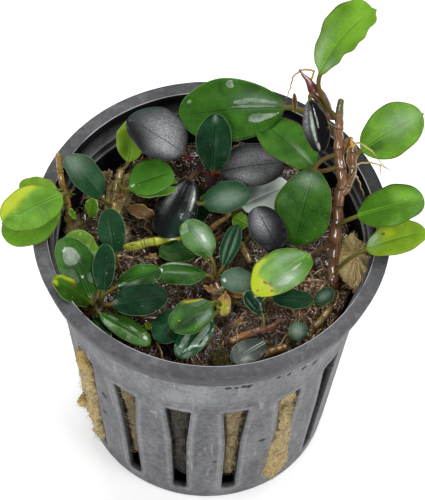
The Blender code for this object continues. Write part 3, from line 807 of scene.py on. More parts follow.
# %% Where the leaves grow
LEAVES = {}
LEAVES["tall_shoot"] = {
    "top": ((18.5, 12.2, 61.6), (15.4, 15.5, 68.6), 12.7, 8, 43, 44, 20, -14, 22, "fresh"),
    "right_upper": ((21.9, 8.6, 57.8), (22.3, 9, 58.5), 11, 8.2, 19, 42, 20, 15, 0, "fresh"),
    "right_middle": ((20.6, 1.5, 48.6), (22, 0, 54), 10.5, 8, 7, 27, 20, -5, 5, "fresh"),
    "right_lower": ((20.9, -2.1, 41), (23.5, -4, 51), 9.5, 6, 14, 20, 15, 0, 12, "fresh"),
    "front": ((18, 8.1, 58), (15.3, 6, 57.5), 12.7, 9, -108, -41, 20, 5, 8, "green"),
    "left": ((17.9, 8.1, 55.7), (15.3, 7, 56), 13, 7, 130, 0, 20, -5, 12, "green"),
    "black": ((16.2, 12, 62), (14, 12, 67), 8.5, 4, -68, -43, 15, 8, 5, "black"),
    "back": ((17.3, 11.4, 59.8), (10.5, 17.9, 56.6), 17, 10, 177, -6, 20, -45, 17, "green"),
    "low": ((17.9, -0.9, 46.5), (15, -5, 50.5), 11, 7.5, -139, 5, 15, 5, 15, "fresh"),
}
LEAVES["dark_shoot"] = {
    "left": ((-4.2, 13.2, 49.3), (-4.6, 13.2, 49.8), 10.5, 9, 154, 23, 15, 0, 15, "black"),
    "upright": ((-0.9, 11.5, 47.8), (-0.2, 10, 50), 9, 5.6, 89, 55, 25, 0, 3, "dark"),
    "right": ((0, 11.2, 46.7), (0.7, 11, 48.5), 10.5, 7.5, 14, 7, 20, 9, 10, "black"),
    "folded": ((-2.4, 11.5, 46.8), (-3.6, 10.5, 47), 10.5, 6.6, -112, -7, 15, 0, -14, "black"),
    "under": ((-1.8, 11.3, 44.4), (-2.2, 10.5, 44.7), 6.5, 5.5, -104, -13, 15, 0, 8, "dark"),
    "front": ((0.2, 9.9, 44.1), (-1.5, 6, 47), 7.5, 5.5, 6, 24, 15, 7, 8, "dark"),
}
LEAVES["middle"] = {
    "grey": ((3, 6.8, 41.1), (4.5, 7, 45), 8.2, 6.6, 18, 27, 15, 0, 5, "grey"),
    "black": ((12.3, -2.4, 41), (10.5, -4, 49), 8, 5.7, 123, 30, 15, 0, 5, "black"),
    "round": ((5.3, 2.7, 41.5), (5.5, 3.5, 45), 2.6, 3.2, 160, 25, 10, 0, 5, "fresh"),
    "narrow": ((1.4, -4, 43.2), (2, -3.5, 44), 7, 3, 72, 27, 15, -4, 12, "dark"),
    "pale": ((1.3, -4.8, 43.4), (0, -3.5, 46.5), 7, 5, 128, 23, 20, 2, 9, "green"),
    "low": ((-0.5, -3, 42.9), (-2, -1, 43.5), 6, 4, 178, 5, 10, 0, 5, "green"),
    "right": ((8.3, -6.2, 40.7), (7, -6, 44), 5.5, 4.2, -172, 16, 10, -7, 10, "dark"),
    "left": ((0.3, -5.6, 43.4), (-0.5, -5.5, 44.5), 8, 4.4, 179, 5, 10, 3, -5, "green"),
}
LEAVES["back_left"] = {
    "yellow": ((-13.6, 12.2, 46.4), (-13.3, 12.9, 47.5), 6.8, 4.6, 82, 44, 15, -4, 26, "fresh"),
    "round": ((-13.9, 9.5, 46.1), (-13, 8, 47.5), 7.3, 6.5, 18, 20, 15, 0, 20, "green"),
    "under": ((-13.6, 9.7, 44.9), (-12.6, 9, 45.5), 7.3, 4.3, 6, 13, 10, 0, 8, "fresh"),
    "dark": ((-16.4, 7.6, 43.6), (-17.2, 6.7, 46.5), 8.5, 5.5, 144, 43, 20, 6, 20, "dark"),
}
LEAVES["left"] = {
    "large": ((-23, 4.2, 49.7), (-23, 2.5, 53), 11, 7.2, -141, 19, 20, -12, 3, "fresh"),
    "behind": ((-23.6, 4.9, 50.7), (-23.8, 4, 52), 6, 3.6, 170, 0, 10, 0, 9, "fresh"),
    "under": ((-22.6, 3.3, 48.2), (-23.5, 2, 50.9), 10.5, 7, -136, 8, 10, -7, -4, "fresh"),
    "sprout": ((-20.6, 2.2, 44.2), (-18.8, 3.2, 46.5), 3.5, 2.6, 50, 75, 10, 0, 10, "fresh"),
}
LEAVES["front_left"] = {
    "tall": ((-13.9, -3.1, 40.9), (-14.6, -2.9, 45.5), 7, 4.3, 104, 44, 15, 0, 8, "dark"),
    "behind": ((-17.7, -10.1, 44.7), (-17.6, -5, 45.6), 6.3, 5.2, 145, 38, 15, -5, 8, "fresh"),
    "large": ((-17.7, -11, 44.8), (-17.9, -11.8, 46.5), 10.2, 6, 124, 50, 30, 0, 8, "green"),
    "upright": ((-17, -11, 44.9), (-16.1, -11.2, 47.5), 7.3, 3.5, 88, 47, 15, 0, 6, "dark"),
    "outer": ((-18.7, -11.9, 43.9), (-18, -12.6, 46.6), 7.9, 4.8, -178, 53, 15, 3, 0, "green"),
    "right": ((-16.4, -11.4, 44.7), (-14.7, -12.8, 46.5), 8.6, 5.8, 12, 11, 15, 0, -8, "dark"),
    "right_behind": (
        (-16.3, -10.3, 44.1), (-14.2, -8.6, 44.9), 7.3, 4.3, 20, 18, 15, 0, 5, "green",
    ),
    "glossy": ((-16.7, -11.9, 43.8), (-16.4, -13.5, 44.8), 9, 4, -29, 1, 15, -6, 0, "green"),
    "edge": ((-17.6, -12.3, 42.9), (-17.3, -13.4, 43.6), 5.2, 2.2, -61, 15, 10, -3, 11, "green"),
}
LEAVES["centre"] = {
    "spotted": ((1.7, -10.4, 43.5), (0.5, -11.5, 46), 8, 5.6, -137, 11, 15, -6, 4, "green"),
    "behind": ((1, -10.3, 43.4), (-3.5, -11.6, 44), 7.4, 5.3, -123, 11, 15, 0, 0, "dark"),
    "glossy": ((1.8, -10.9, 42.9), (0.5, -13, 44.2), 9, 4.5, -122, 10, 15, 0, 6, "dark"),
}
LEAVES["front_right"] = {
    "folded": ((8.1, -13.2, 44.1), (8.1, -12.1, 44.6), 4.2, 3, 138, 35, 10, 0, 20, "dark"),
    "long": ((8.5, -8.2, 41.2), (9.6, -8.5, 43.5), 6.3, 3.8, -4, 8, 10, -4, -5, "dark"),
    "far": ((15.1, -9.2, 41.6), (16.1, -8.7, 43), 3.6, 3, 19, 33, 10, 0, 4, "dark"),
    "small": ((13.7, -16.5, 41.4), (13.9, -15.9, 43), 3, 3, 98, 39, 10, 0, 6, "dark"),
    "grey": ((9.7, -16.3, 41.1), (8.7, -16.6, 43.5), 6.5, 4.1, -138, 14, 10, 0, 10, "grey"),
}
print("leaves:", sum(len(leaves) for leaves in LEAVES.values()))

# %% [markdown]
# ## Small leaves of the scene alone
#
# A few tiny leaves, young tips and curled scraps of old sheath are too small to be solids of
# their own. They use the same rows: a scrap is a dead leaf that curls hard and has no stem.

# %% Small leaves
SMALL_LEAVES = {
    "front_left_shiny_leaf": (
        (-15.5, -4, 41.5), (-15.6, -4.4, 44.5), 4.2, 2.9, 118, 30, 10, 0, 5, "dark",
    ),
    "front_yellow_leaf": (
        (2.2, -7.9, 43.6), (2.5, -8.6, 44.4), 3.6, 2.3, -96, -20, 25, 8, 12, "dead",
    ),
    "middle_tiny_leaf": (
        (-1.9, -4.6, 42.6), (-2.4, -4.9, 43.2), 2.4, 1.4, -160, 15, 10, 0, 5, "fresh",
    ),
    "front_dark_leaf": (
        (-0.6, -14.6, 42.4), (-0.9, -15.2, 42.9), 2.6, 1.5, -100, 10, 10, 0, 5, "dark",
    ),
    "sprout_second_leaf": (
        (-20.7, 2.4, 45.2), (-21, 2.7, 46.4), 2, 1.1, 150, 60, 10, 0, 10, "fresh",
    ),
    "left_yellow_bud": (
        (-9.2, -13.2, 42.4), (-9.2, -13.4, 42.9), 1.8, 1.1, -80, 20, 10, 0, 5, "fresh",
    ),
    "curled_ochre_scale": (
        (-13.2, 6.8, 43.4), (-13.1, 6.6, 43.7), 4.2, 2.2, -18, 25, 85, 25, 62, "dead",
    ),
    "brown_flap": ((-17, 12.5, 44.6), (-17, 12.3, 45.4), 2.6, 2.2, -80, 40, 40, 5, 25, "dead"),
    "orange_scrap": ((-10, -1.5, 42.6), (-9.9, -1.5, 42.7), 2.2, 0.9, 5, 20, 60, 15, 60, "dead"),
    "tan_scrap": ((4, -13.3, 42.5), (4, -13.2, 42.7), 2, 1.1, 35, 30, 90, 30, 62, "dead"),
    "reddish_scale": ((-15.2, 7.9, 43.7), (-15.2, 7.9, 44.2), 1.8, 1.3, 20, 40, 50, 0, 30, "dead"),
    "fork_scale": ((20.6, 7.4, 56.2), (20.5, 7.5, 56.5), 3.4, 1.9, 80, 60, 30, 30, 40, "dead"),
    "fork_lower_scale": ((20.3, 6, 54.4), (20.4, 6.1, 54.7), 2.6, 1.4, 30, 68, 20, -20, 35, "dead"),
    "fork_back_scale": ((19.6, 8.9, 57.6), (19.7, 9, 57.9), 2.6, 1.5, 60, 50, 30, -20, 35, "dead"),
    "leaf_foot_scale": ((12.2, 17, 56.8), (12.1, 17.1, 57), 2.9, 0.8, 100, 66, 20, 0, 40, "dead"),
    "middle_scrap": ((-5.5, 8, 42.4), (-5.4, 7.9, 42.8), 3, 1.8, -60, 15, 40, 0, 30, "dead"),
    "crown_pale_scale": ((2.4, -8, 43.3), (2.7, -8, 43.5), 3.4, 1.3, -8, 14, 30, 20, 45, "dead"),
    "crown_tan_scale": (
        (1.4, -8.3, 43.2), (1.2, -8.2, 43.5), 2.4, 1.1, 150, 25, 60, -10, 55, "dead",
    ),
    "middle_yellow_sprout": (
        (-1, -0.6, 42.6), (-0.8, -0.9, 43.3), 2.2, 1, 60, 40, 10, 0, 10, "fresh",
    ),
}
print("small leaves:", len(SMALL_LEAVES))

# %% [markdown]
# ## What makes each leaf itself
#
# No two of the leaves are alike: some are ruffled, some pointed, some yellow at one end or
# scorched at the rim, and water lies on some. An entry below changes only what differs from a
# plain leaf. `tone` makes the skin lighter, `warm` yellower, `film` wetter all over and `bloom`
# gives it a silvery bloom in its colour, which is also a painted metallic sheen. `lines` shows
# fine lengthwise veins, `rim` turns the rim from pale to red-brown, and `stalk` does that to the
# stalk. `wave` ruffles the rim by millimetres and `scallop` notches either side by a share of the
# width. `widest` is where the blade is widest, `point` sharpens its tip, `mucro` adds a tiny spike
# to it, and `swerve` turns the midrib.
#
# The rest are marks, oval patches on the blade, by what they are. Each says in percent how far
# along and across the blade it lies, with the left of the leaf positive, and its half sizes.
# Dark and light marks are partly the leaf's own mottling and partly painted shade and painted
# light, such as the shade in a fold. Haze, wet and silver marks are painted pale: a dried film,
# water and bloom, and in them a painted sheen and painted reflections of the lamps.

# %% Habits of single leaves
MARKS = ("yellow", "brown", "haze", "wet", "silver", "dark", "light", "green")
PLAIN = {
    "tone": 0, "warm": 0, "film": 0.03, "bloom": 0, "lines": 0, "rim": 0, "stalk": 0, "wave": 0.1,
    "scallop": (0, 0), "widest": 0.53, "point": 0, "mucro": 0, "swerve": 0,
    **dict.fromkeys(MARKS, ()),
}
HABITS = {}
HABITS["tall_shoot"] = {
    "top": dict(
        wave=0.22, scallop=(0.02, 0.075), widest=0.66, mucro=0.5, point=-0.2, rim=0.7, tone=-0.02,
        stalk=0.35, swerve=-34, warm=0.1, haze=[(12, -50, 14, 40), (15, 60, 30, 30)],
        dark=[(20, -10, 20, 12)], light=[(70, -20, 25, 60)],
    ),
    "right_upper": dict(
        rim=0.8, mucro=0.3, tone=0.05, haze=[(75, 10, 30, 50)], dark=[(24, -25, 16, 35),
        (24, -25, 12, 25)],
    ),
    "right_middle": dict(rim=0.8, tone=-0.35, dark=[(18, -10, 30, 80)], light=[(75, 40, 20, 40)]),
    "right_lower": dict(
        warm=0.55, rim=0.6, tone=0.1, yellow=[(42, 45, 14, 35)], brown=[(33, 50, 4, 10)],
        haze=[(10, 45, 16, 60)], wet=[(14, 60, 12, 25)],
    ),
    "front": dict(point=0.45, stalk=0.5, rim=0.5, haze=[(14, -10, 10, 60)]),
    "left": dict(rim=0.6, tone=0.2, stalk=0.5, haze=[(24, -12, 20, 10)], dark=[(85, 50, 10, 30)]),
    "black": dict(
        film=0.2, rim=0.3, stalk=0.5, haze=[(46, -26, 30, 12), (55, -26, 30, 14)],
        wet=[(34, 16, 26, 6), (46, -26, 34, 13), (88, -10, 7, 14)], silver=[(30, -70, 30, 20)],
    ),
    "back": dict(
        point=0.25, tone=0.12, stalk=0.1, haze=[(20, -30, 20, 30)], wet=[(46, -80, 3.5, 12),
        (86, -65, 2, 10), (26, -30, 12, 7), (12, -34, 10, 6), (24, 36, 11, 16), (10, 40, 8, 7),
        (26, -6, 24, 1.8), (40, -20, 6, 6)],
    ),
    "low": dict(
        film=0.2, stalk=0.8, tone=-0.12, point=0.2, yellow=[(92, 10, 20, 120), (92, 10, 12, 100),
        (70, -85, 30, 16)], brown=[(74, 20, 2.5, 22), (78, -10, 2, 14), (80, 60, 3, 10),
        (93, 0, 3, 10)], haze=[(50, 42, 22, 40), (52, 42, 20, 34), (30, -45, 25, 25)],
        wet=[(56, 48, 13, 16), (30, 20, 12, 6)], dark=[(20, 0, 22, 90), (40, 0, 35, 7)],
    ),
}
HABITS["dark_shoot"] = {
    "left": dict(
        point=0.3, widest=0.48, bloom=0.02, film=0.1, stalk=1, silver=[(42, -30, 34, 55),
        (30, 35, 22, 40)], green=[(90, -80, 20, 30)],
    ),
    "upright": dict(tone=-0.1, stalk=1, haze=[(93, 0, 7, 22)], light=[(88, -90, 5, 10)]),
    "right": dict(bloom=0.03, stalk=1, silver=[(55, 35, 32, 40), (50, -45, 30, 40)]),
    "folded": dict(
        wave=0.38, stalk=0.8, film=0.2, lines=0.7, wet=[(30, 62, 24, 7), (62, 36, 22, 5),
        (28, -45, 20, 5), (55, -70, 25, 5)], silver=[(25, 60, 18, 12), (32, -50, 22, 17)],
        green=[(75, 50, 25, 40)],
    ),
    "under": dict(tone=-0.2, stalk=0.8),
    "front": dict(tone=0.15, haze=[(55, -10, 35, 55)]),
}
HABITS["middle"] = {
    "grey": dict(
        film=0.8, tone=0.9, lines=1, haze=[(50, -40, 25, 35)], wet=[(45, -50, 22, 30),
        (70, 45, 20, 30)], silver=[(72, -15, 30, 18), (35, 55, 18, 25)], dark=[(20, 30, 25, 50),
        (62, 25, 14, 16), (40, -10, 22, 12)],
    ),
    "black": dict(stalk=0.8, silver=[(72, 20, 28, 50)]),
    "round": dict(tone=0.1),
    "narrow": dict(tone=0.1, haze=[(50, -30, 40, 15), (40, 40, 40, 12)]),
    "pale": dict(
        tone=0.1, film=0.3, haze=[(45, -30, 32, 42), (45, -20, 25, 35)], wet=[(45, -30, 10, 14)],
    ),
    "low": dict(tone=-0.22),
    "right": dict(tone=0.9, haze=[(50, 0, 50, 90)], wet=[(90, 0, 5, 30)]),
    "left": dict(tone=-0.15, haze=[(55, 0, 40, 8)], wet=[(93, -20, 10, 40), (50, -85, 35, 12)]),
}
HABITS["back_left"] = {
    "yellow": dict(
        warm=0.5, tone=-0.12, wave=0.25, brown=[(85, 0, 12, 30)], dark=[(30, 40, 30, 30)],
    ),
    "round": dict(tone=0.3, wet=[(6, 5, 10, 14)], light=[(35, -90, 40, 12)]),
    "under": dict(tone=-0.1, film=0.4, haze=[(40, -20, 35, 30)]),
    "dark": dict(tone=0.15, lines=1, haze=[(85, 0, 25, 70)]),
}
HABITS["left"] = {
    "large": dict(
        rim=0.8, mucro=0.3, lines=0.3, yellow=[(82, -60, 30, 50), (52, -90, 30, 30)],
        dark=[(30, 10, 30, 60)],
    ),
    "behind": dict(warm=0.35, rim=0.8),
    "under": dict(tone=0.05, rim=0.6, light=[(85, 0, 20, 70)]),
    "sprout": dict(tone=-0.1),
}
HABITS["front_left"] = {
    "tall": dict(tone=0.1, lines=1),
    "behind": dict(tone=-0.1, warm=0.15, film=0.2),
    "large": dict(
        tone=-0.05, film=0.15, haze=[(70, 8, 10, 35)], wet=[(70, 8, 15, 50), (35, -5, 2, 7)],
        dark=[(30, 0, 35, 80)], light=[(75, 80, 30, 20)],
    ),
    "outer": dict(
        warm=0.05, tone=-0.35, yellow=[(65, -85, 35, 30), (95, 0, 10, 60)],
        brown=[(50, -50, 12, 10)], light=[(80, -40, 30, 60)],
    ),
    "right": dict(tone=-0.2, point=-0.15, stalk=0.5, haze=[(5, 20, 6, 30)]),
    "right_behind": dict(
        tone=-0.35, haze=[(35, -30, 15, 15)], wet=[(10, -5, 15, 20)], light=[(70, 50, 30, 50)],
    ),
    "glossy": dict(
        tone=0.15, film=0.3, haze=[(24, 30, 8, 9), (62, 30, 8, 10), (88, 25, 3.5, 22)],
        wet=[(24, 30, 9, 10), (62, 30, 9, 12), (88, 25, 4, 25)],
    ),
    "edge": dict(tone=-0.5),
}
HABITS["centre"] = {
    "spotted": dict(
        tone=-0.3, film=0.1, yellow=[(28, -85, 25, 20), (78, -20, 3, 7)], brown=[(28, -93, 20, 12)],
        haze=[(35, 55, 16, 20)], light=[(80, -50, 15, 30), (60, 70, 30, 20)],
    ),
    "behind": dict(tone=0.1),
    "glossy": dict(
        tone=0.85, film=0.6, wet=[(30, 35, 18, 25), (60, 30, 20, 22), (35, -45, 20, 25),
        (70, -40, 15, 20)],
    ),
}
HABITS["front_right"] = {
    "folded": dict(film=0.5, silver=[(50, 45, 30, 7), (50, -45, 30, 6)]),
    "long": dict(tone=-0.05),
    "far": dict(tone=0.1, lines=0.5, haze=[(50, 0, 30, 50)]),
    "small": dict(tone=0.4, haze=[(60, 10, 45, 80), (50, 10, 30, 60)]),
    "grey": dict(film=0.1, tone=-1.2, haze=[(70, 40, 15, 30)], dark=[(40, 0, 50, 90)]),
}
HABITS["small"] = {
    "front_yellow_leaf": dict(
        tone=0.5, film=0.4, yellow=[(60, 0, 40, 100)], brown=[(12, 20, 15, 50)],
    ),
    "left_yellow_bud": dict(warm=1.2, tone=0.1),
    "curled_ochre_scale": dict(wave=0.4, scallop=(0.04, 0.05), film=0.8),
    "brown_flap": dict(wave=0.4, scallop=(0.05, 0.04), tone=-0.1, film=0.5),
    "orange_scrap": dict(wave=0.3, scallop=(0.05, 0.05), tone=0.2, film=0.5),
    "tan_scrap": dict(wave=0.3, scallop=(0.04, 0.06), tone=0.2, film=0.5),
    "middle_scrap": dict(wave=0.4, scallop=(0.05, 0.05), tone=-0.3, film=0.6),
    "crown_pale_scale": dict(wave=0.3, tone=0.5, point=0.6),
    "crown_tan_scale": dict(wave=0.4, scallop=(0.05, 0.05), tone=0.3, film=0.4),
}
print("leaves with habits of their own:", sum(len(habits) for habits in HABITS.values()))

# %% The blade's surface
BASE_FULLNESS, TIP_FULLNESS, POINTING = 0.53, 0.43, 0.45
BLADE_HALF_THICK, STALK_BEND = 0.17, 0.35
THINNEST_STALK, STALK_GROWTH, FOOT_FLARE = 0.19, 0.012, 0.35
STALK_ROWS, BLADE_ROWS, AROUND = 13, 48, 40
LAST_ROWS = (0.99, 0.9965, 0.9992)  # rows crowd at the tip, where the outline turns fast
STALK_TO_BLADE, EDGE_ROUNDING, MIDRIB_ROWS = 0.1, 0.5, 0.3
RIB_GROOVE, RIB_KEEL, GROOVE_WIDTH, KEEL_WIDTH = 0.1, 0.16, 0.25, 0.35
SCALLOPS, UNEVEN, CUP_SOFTNESS = 4.3, 0.03, 0.3


def blade_outline(along, widest, point):
    """Half-width as a share of the largest: a sine up to `widest`, then a cosine, which `point`
    sharpens."""
    fullness = BASE_FULLNESS + widest - PLAIN["widest"]
    rising = np.sin(np.pi / 2 * np.clip(along / widest, 0, 1)) ** fullness
    after = np.clip((along - widest) / (1 - widest), 0, 1)
    falling = np.cos(np.pi / 2 * after) ** (TIP_FULLNESS + POINTING * point)
    return np.where(along < widest, rising, falling)


def midrib(base, length, heading, rise, droop, swerve, along):
    """Points and directions along the midrib: its pitch falls evenly from rise by droop, and its
    heading changes by swerve, half of it on either side of the stated one."""
    pitch = np.radians(rise - droop * along)
    turn = np.radians(heading + swerve * (along - 0.5))
    flat = np.cos(pitch)
    towards = np.stack([flat * np.cos(turn), flat * np.sin(turn), np.sin(pitch)], -1)
    steps = np.diff(along)[:, None] * (towards[1:] + towards[:-1]) / 2 * length
    return np.asarray(base) + np.vstack([np.zeros(3), np.cumsum(steps, 0)]), towards


def stalk_route(start, base, direction, along):
    """A quadratic curve from start to base that runs into the blade in the blade's direction."""
    start, base = np.asarray(start), np.asarray(base)
    bend = base - direction * STALK_BEND * np.linalg.norm(base - start)
    u = along[:, None]
    points = (1 - u) ** 2 * start + 2 * u * (1 - u) * bend + u**2 * base
    return points, unit((1 - u) * (bend - start) + u * (base - bend))


def leaf_surface(start, base, length, width, heading, rise, droop, bank, cup, habit, seed):
    """Rings along the leaf. At turn t a ring's point lies across by cos t, warped to be dense
    at the midrib, and up by sin t times the half-thickness, plus cup, ruffle, groove and keel."""
    rng = np.random.default_rng(seed)
    stalk_radius = THINNEST_STALK + STALK_GROWTH * length
    along = np.append(np.linspace(0, 1, BLADE_ROWS)[:-1], LAST_ROWS)
    rib, towards = midrib(base, length, heading, rise, droop, habit["swerve"], along)
    level = np.array([-math.sin(math.radians(heading)), math.cos(math.radians(heading)), 0.0])
    over = np.cross(towards[0], level)
    side = math.cos(math.radians(bank)) * level + math.sin(math.radians(bank)) * over
    stalk_along = np.linspace(0, 1, STALK_ROWS)[:-1]
    stalk, stalk_towards = stalk_route(start, base, towards[0], stalk_along)
    centres = np.vstack([stalk, rib])
    directions = np.vstack([stalk_towards, towards])
    sides = unit(side - (directions @ side)[:, None] * directions)
    ups = np.cross(directions, sides)

    # u runs from -1 at the stalk's foot through 0 at the blade's base to 1 at the tip
    u = np.concatenate([stalk_along - 1, along])[:, None]
    into = np.clip(u / STALK_TO_BLADE, 0, 1)
    on_blade = into**2 * (3 - 2 * into)
    turn = full_turn(AROUND)
    folded = np.minimum(turn, 2 * math.pi - turn)
    across = np.cos(turn) - MIDRIB_ROWS * on_blade * np.sin(2 * folded)
    outline = blade_outline(np.clip(u, 0, 1), habit["widest"], habit["point"])
    bumps = np.sin(2 * math.pi * (u * rng.uniform(1.2, 2.2) + rng.uniform()))
    uneven = 1 + UNEVEN * bumps * np.sign(across)
    scallop = np.where(across > 0, *habit["scallop"]) * np.sin(2 * math.pi * (SCALLOPS * u + 0.1))
    half_width = outline * width / 2 * (uneven + scallop)
    half_width = np.maximum(half_width, stalk_radius * (1 - 0.98 * np.clip((u - 0.9) / 0.1, 0, 1)))
    half_width = np.where(u < 0, stalk_radius, half_width)
    foot = np.where(u < 0, 1 + FOOT_FLARE * np.clip((-u - 0.85) / 0.15, 0, 1), 1)
    thinned = np.minimum(1, half_width / 0.8)
    thick = stalk_radius * (1 - on_blade) + BLADE_HALF_THICK * on_blade * thinned
    flatness = 1 - EDGE_ROUNDING * on_blade
    rounding = np.where(np.sin(turn) < 0, -1, 1) * np.abs(np.sin(turn)) ** flatness
    out = across * half_width * foot
    fade = on_blade * np.clip((1 - u) / 0.35, 0, 1) ** 0.7
    groove = -RIB_GROOVE * np.exp(-((out / GROOVE_WIDTH) ** 2)) * fade * (np.sin(turn) > 0)
    keel = -RIB_KEEL * np.exp(-((out / KEEL_WIDTH) ** 2)) * fade * (np.sin(turn) < 0)
    lag = np.where(out > 0, 0, 0.37)
    waves = np.sin(2 * math.pi * (u * rng.uniform(2.2, 3.2) + lag + rng.uniform()))
    ruffle = habit["wave"] * waves * across**2 * on_blade
    slope = math.tan(math.radians(cup))
    cupped = slope * (np.sqrt(out**2 + CUP_SOFTNESS) - math.sqrt(CUP_SOFTNESS)) * on_blade
    up = thick * rounding * foot + groove + keel + ruffle + cupped
    rings = centres[:, None] + out[..., None] * sides[:, None] + up[..., None] * ups[:, None]

    everywhere = ("tone", "warm", "film", "lines", "rim", "stalk")
    carried = {label: habit[label] + 0 * out for label in everywhere}
    for kind in MARKS:
        carried[kind] = 0 * out
        for mark in habit[kind]:
            at, beside, long, wide = np.divide(mark, 100)
            far = ((u - at) / long) ** 2 + ((across - beside) / wide) ** 2
            carried[kind] = carried[kind] + np.exp(-far) * on_blade
    carried["silver"] = np.maximum(carried["silver"], habit["bloom"] * on_blade)
    carried["along"] = u + 0 * out
    carried["across"] = out
    carried["share"] = across
    carried["margin"] = (1 - np.abs(across)) * half_width + 2 * (1 - on_blade)
    carried["under"] = (np.sin(turn) < -0.05) * on_blade
    tip = rib[-1] + towards[-1] * (length * 0.001 + habit["mucro"])
    return rings, start, tip, carried


print("points in a leaf:", (STALK_ROWS + BLADE_ROWS + 1) * AROUND)

# %% [markdown]
# ## The leaves' finishes
#
# Bucephalandra leaves are leathery. Young ones are bright yellow-green, old ones deep green to
# black with a silvery bloom in the skin, whose pale colour is also a painted sheen. The skin is
# smooth with a fine grain, softly mottled, its midrib is a thin dark groove between paler flanks,
# and side veins hardly show. The rim is a hair-thin line, pale or red-brown, and the underside is
# paler. Where water lies there is a coat over the skin with a sharp, ragged edge, and only there
# does the leaf mirror the lamps; the pale colour painted into these patches is a painted
# reflection of the water. A pale haze is partly a dried film and partly a painted sheen. Tiny
# specks of dew sit on the rest, each painted pale as a painted glint.

# %% Leaf finishes
KINDS = {
    # name: deep colour, light colour, rim, underside, roughness, specular level
    "fresh": (
        (0.04, 0.135, 0.005), (0.185, 0.41, 0.032), (0.34, 0.48, 0.12), (0.18, 0.32, 0.06),
        0.4, 0.12,
    ),
    "green": (
        (0.004, 0.028, 0.002), (0.056, 0.185, 0.016), (0.22, 0.36, 0.12), (0.1, 0.2, 0.05),
        0.38, 0.08,
    ),
    "dark": (
        (0.0012, 0.012, 0.0035), (0.013, 0.072, 0.024), (0.16, 0.27, 0.13), (0.05, 0.1, 0.05),
        0.36, 0.06,
    ),
    "black": (
        (0.0018, 0.002, 0.0026), (0.009, 0.009, 0.011), (0.12, 0.13, 0.11), (0.04, 0.03, 0.04),
        0.34, 0.06,
    ),
    # the grey kind's pale light colour is partly the leaf's own grey and partly a painted glare
    "grey": (
        (0.04, 0.052, 0.044), (0.66, 0.76, 0.68), (0.26, 0.34, 0.24), (0.1, 0.14, 0.1),
        0.34, 0.3,
    ),
    "dead": (
        (0.05, 0.022, 0.007), (0.32, 0.185, 0.06), (0.42, 0.29, 0.12), (0.2, 0.12, 0.04),
        0.4, 0.3,
    ),
}
# The pale film colour is partly a dried film and partly painted sheen, glints and reflections.
YELLOWING, SCORCH, PALE_FILM_AND_PAINTED_SHEEN = (0.46, 0.52, 0.02), (0.2, 0.07, 0.012), (0.56, 0.66, 0.56)
# The silver colour is partly the leaves' own bloom and partly a painted sheen.
SILVER_BLOOM_AND_SHEEN, GREEN_CAST = (0.42, 0.43, 0.44), (0.02, 0.055, 0.04)
STALK_OLIVE, STALK_RED, RED_RIM = (0.13, 0.12, 0.025), (0.085, 0.022, 0.016), (0.24, 0.1, 0.035)


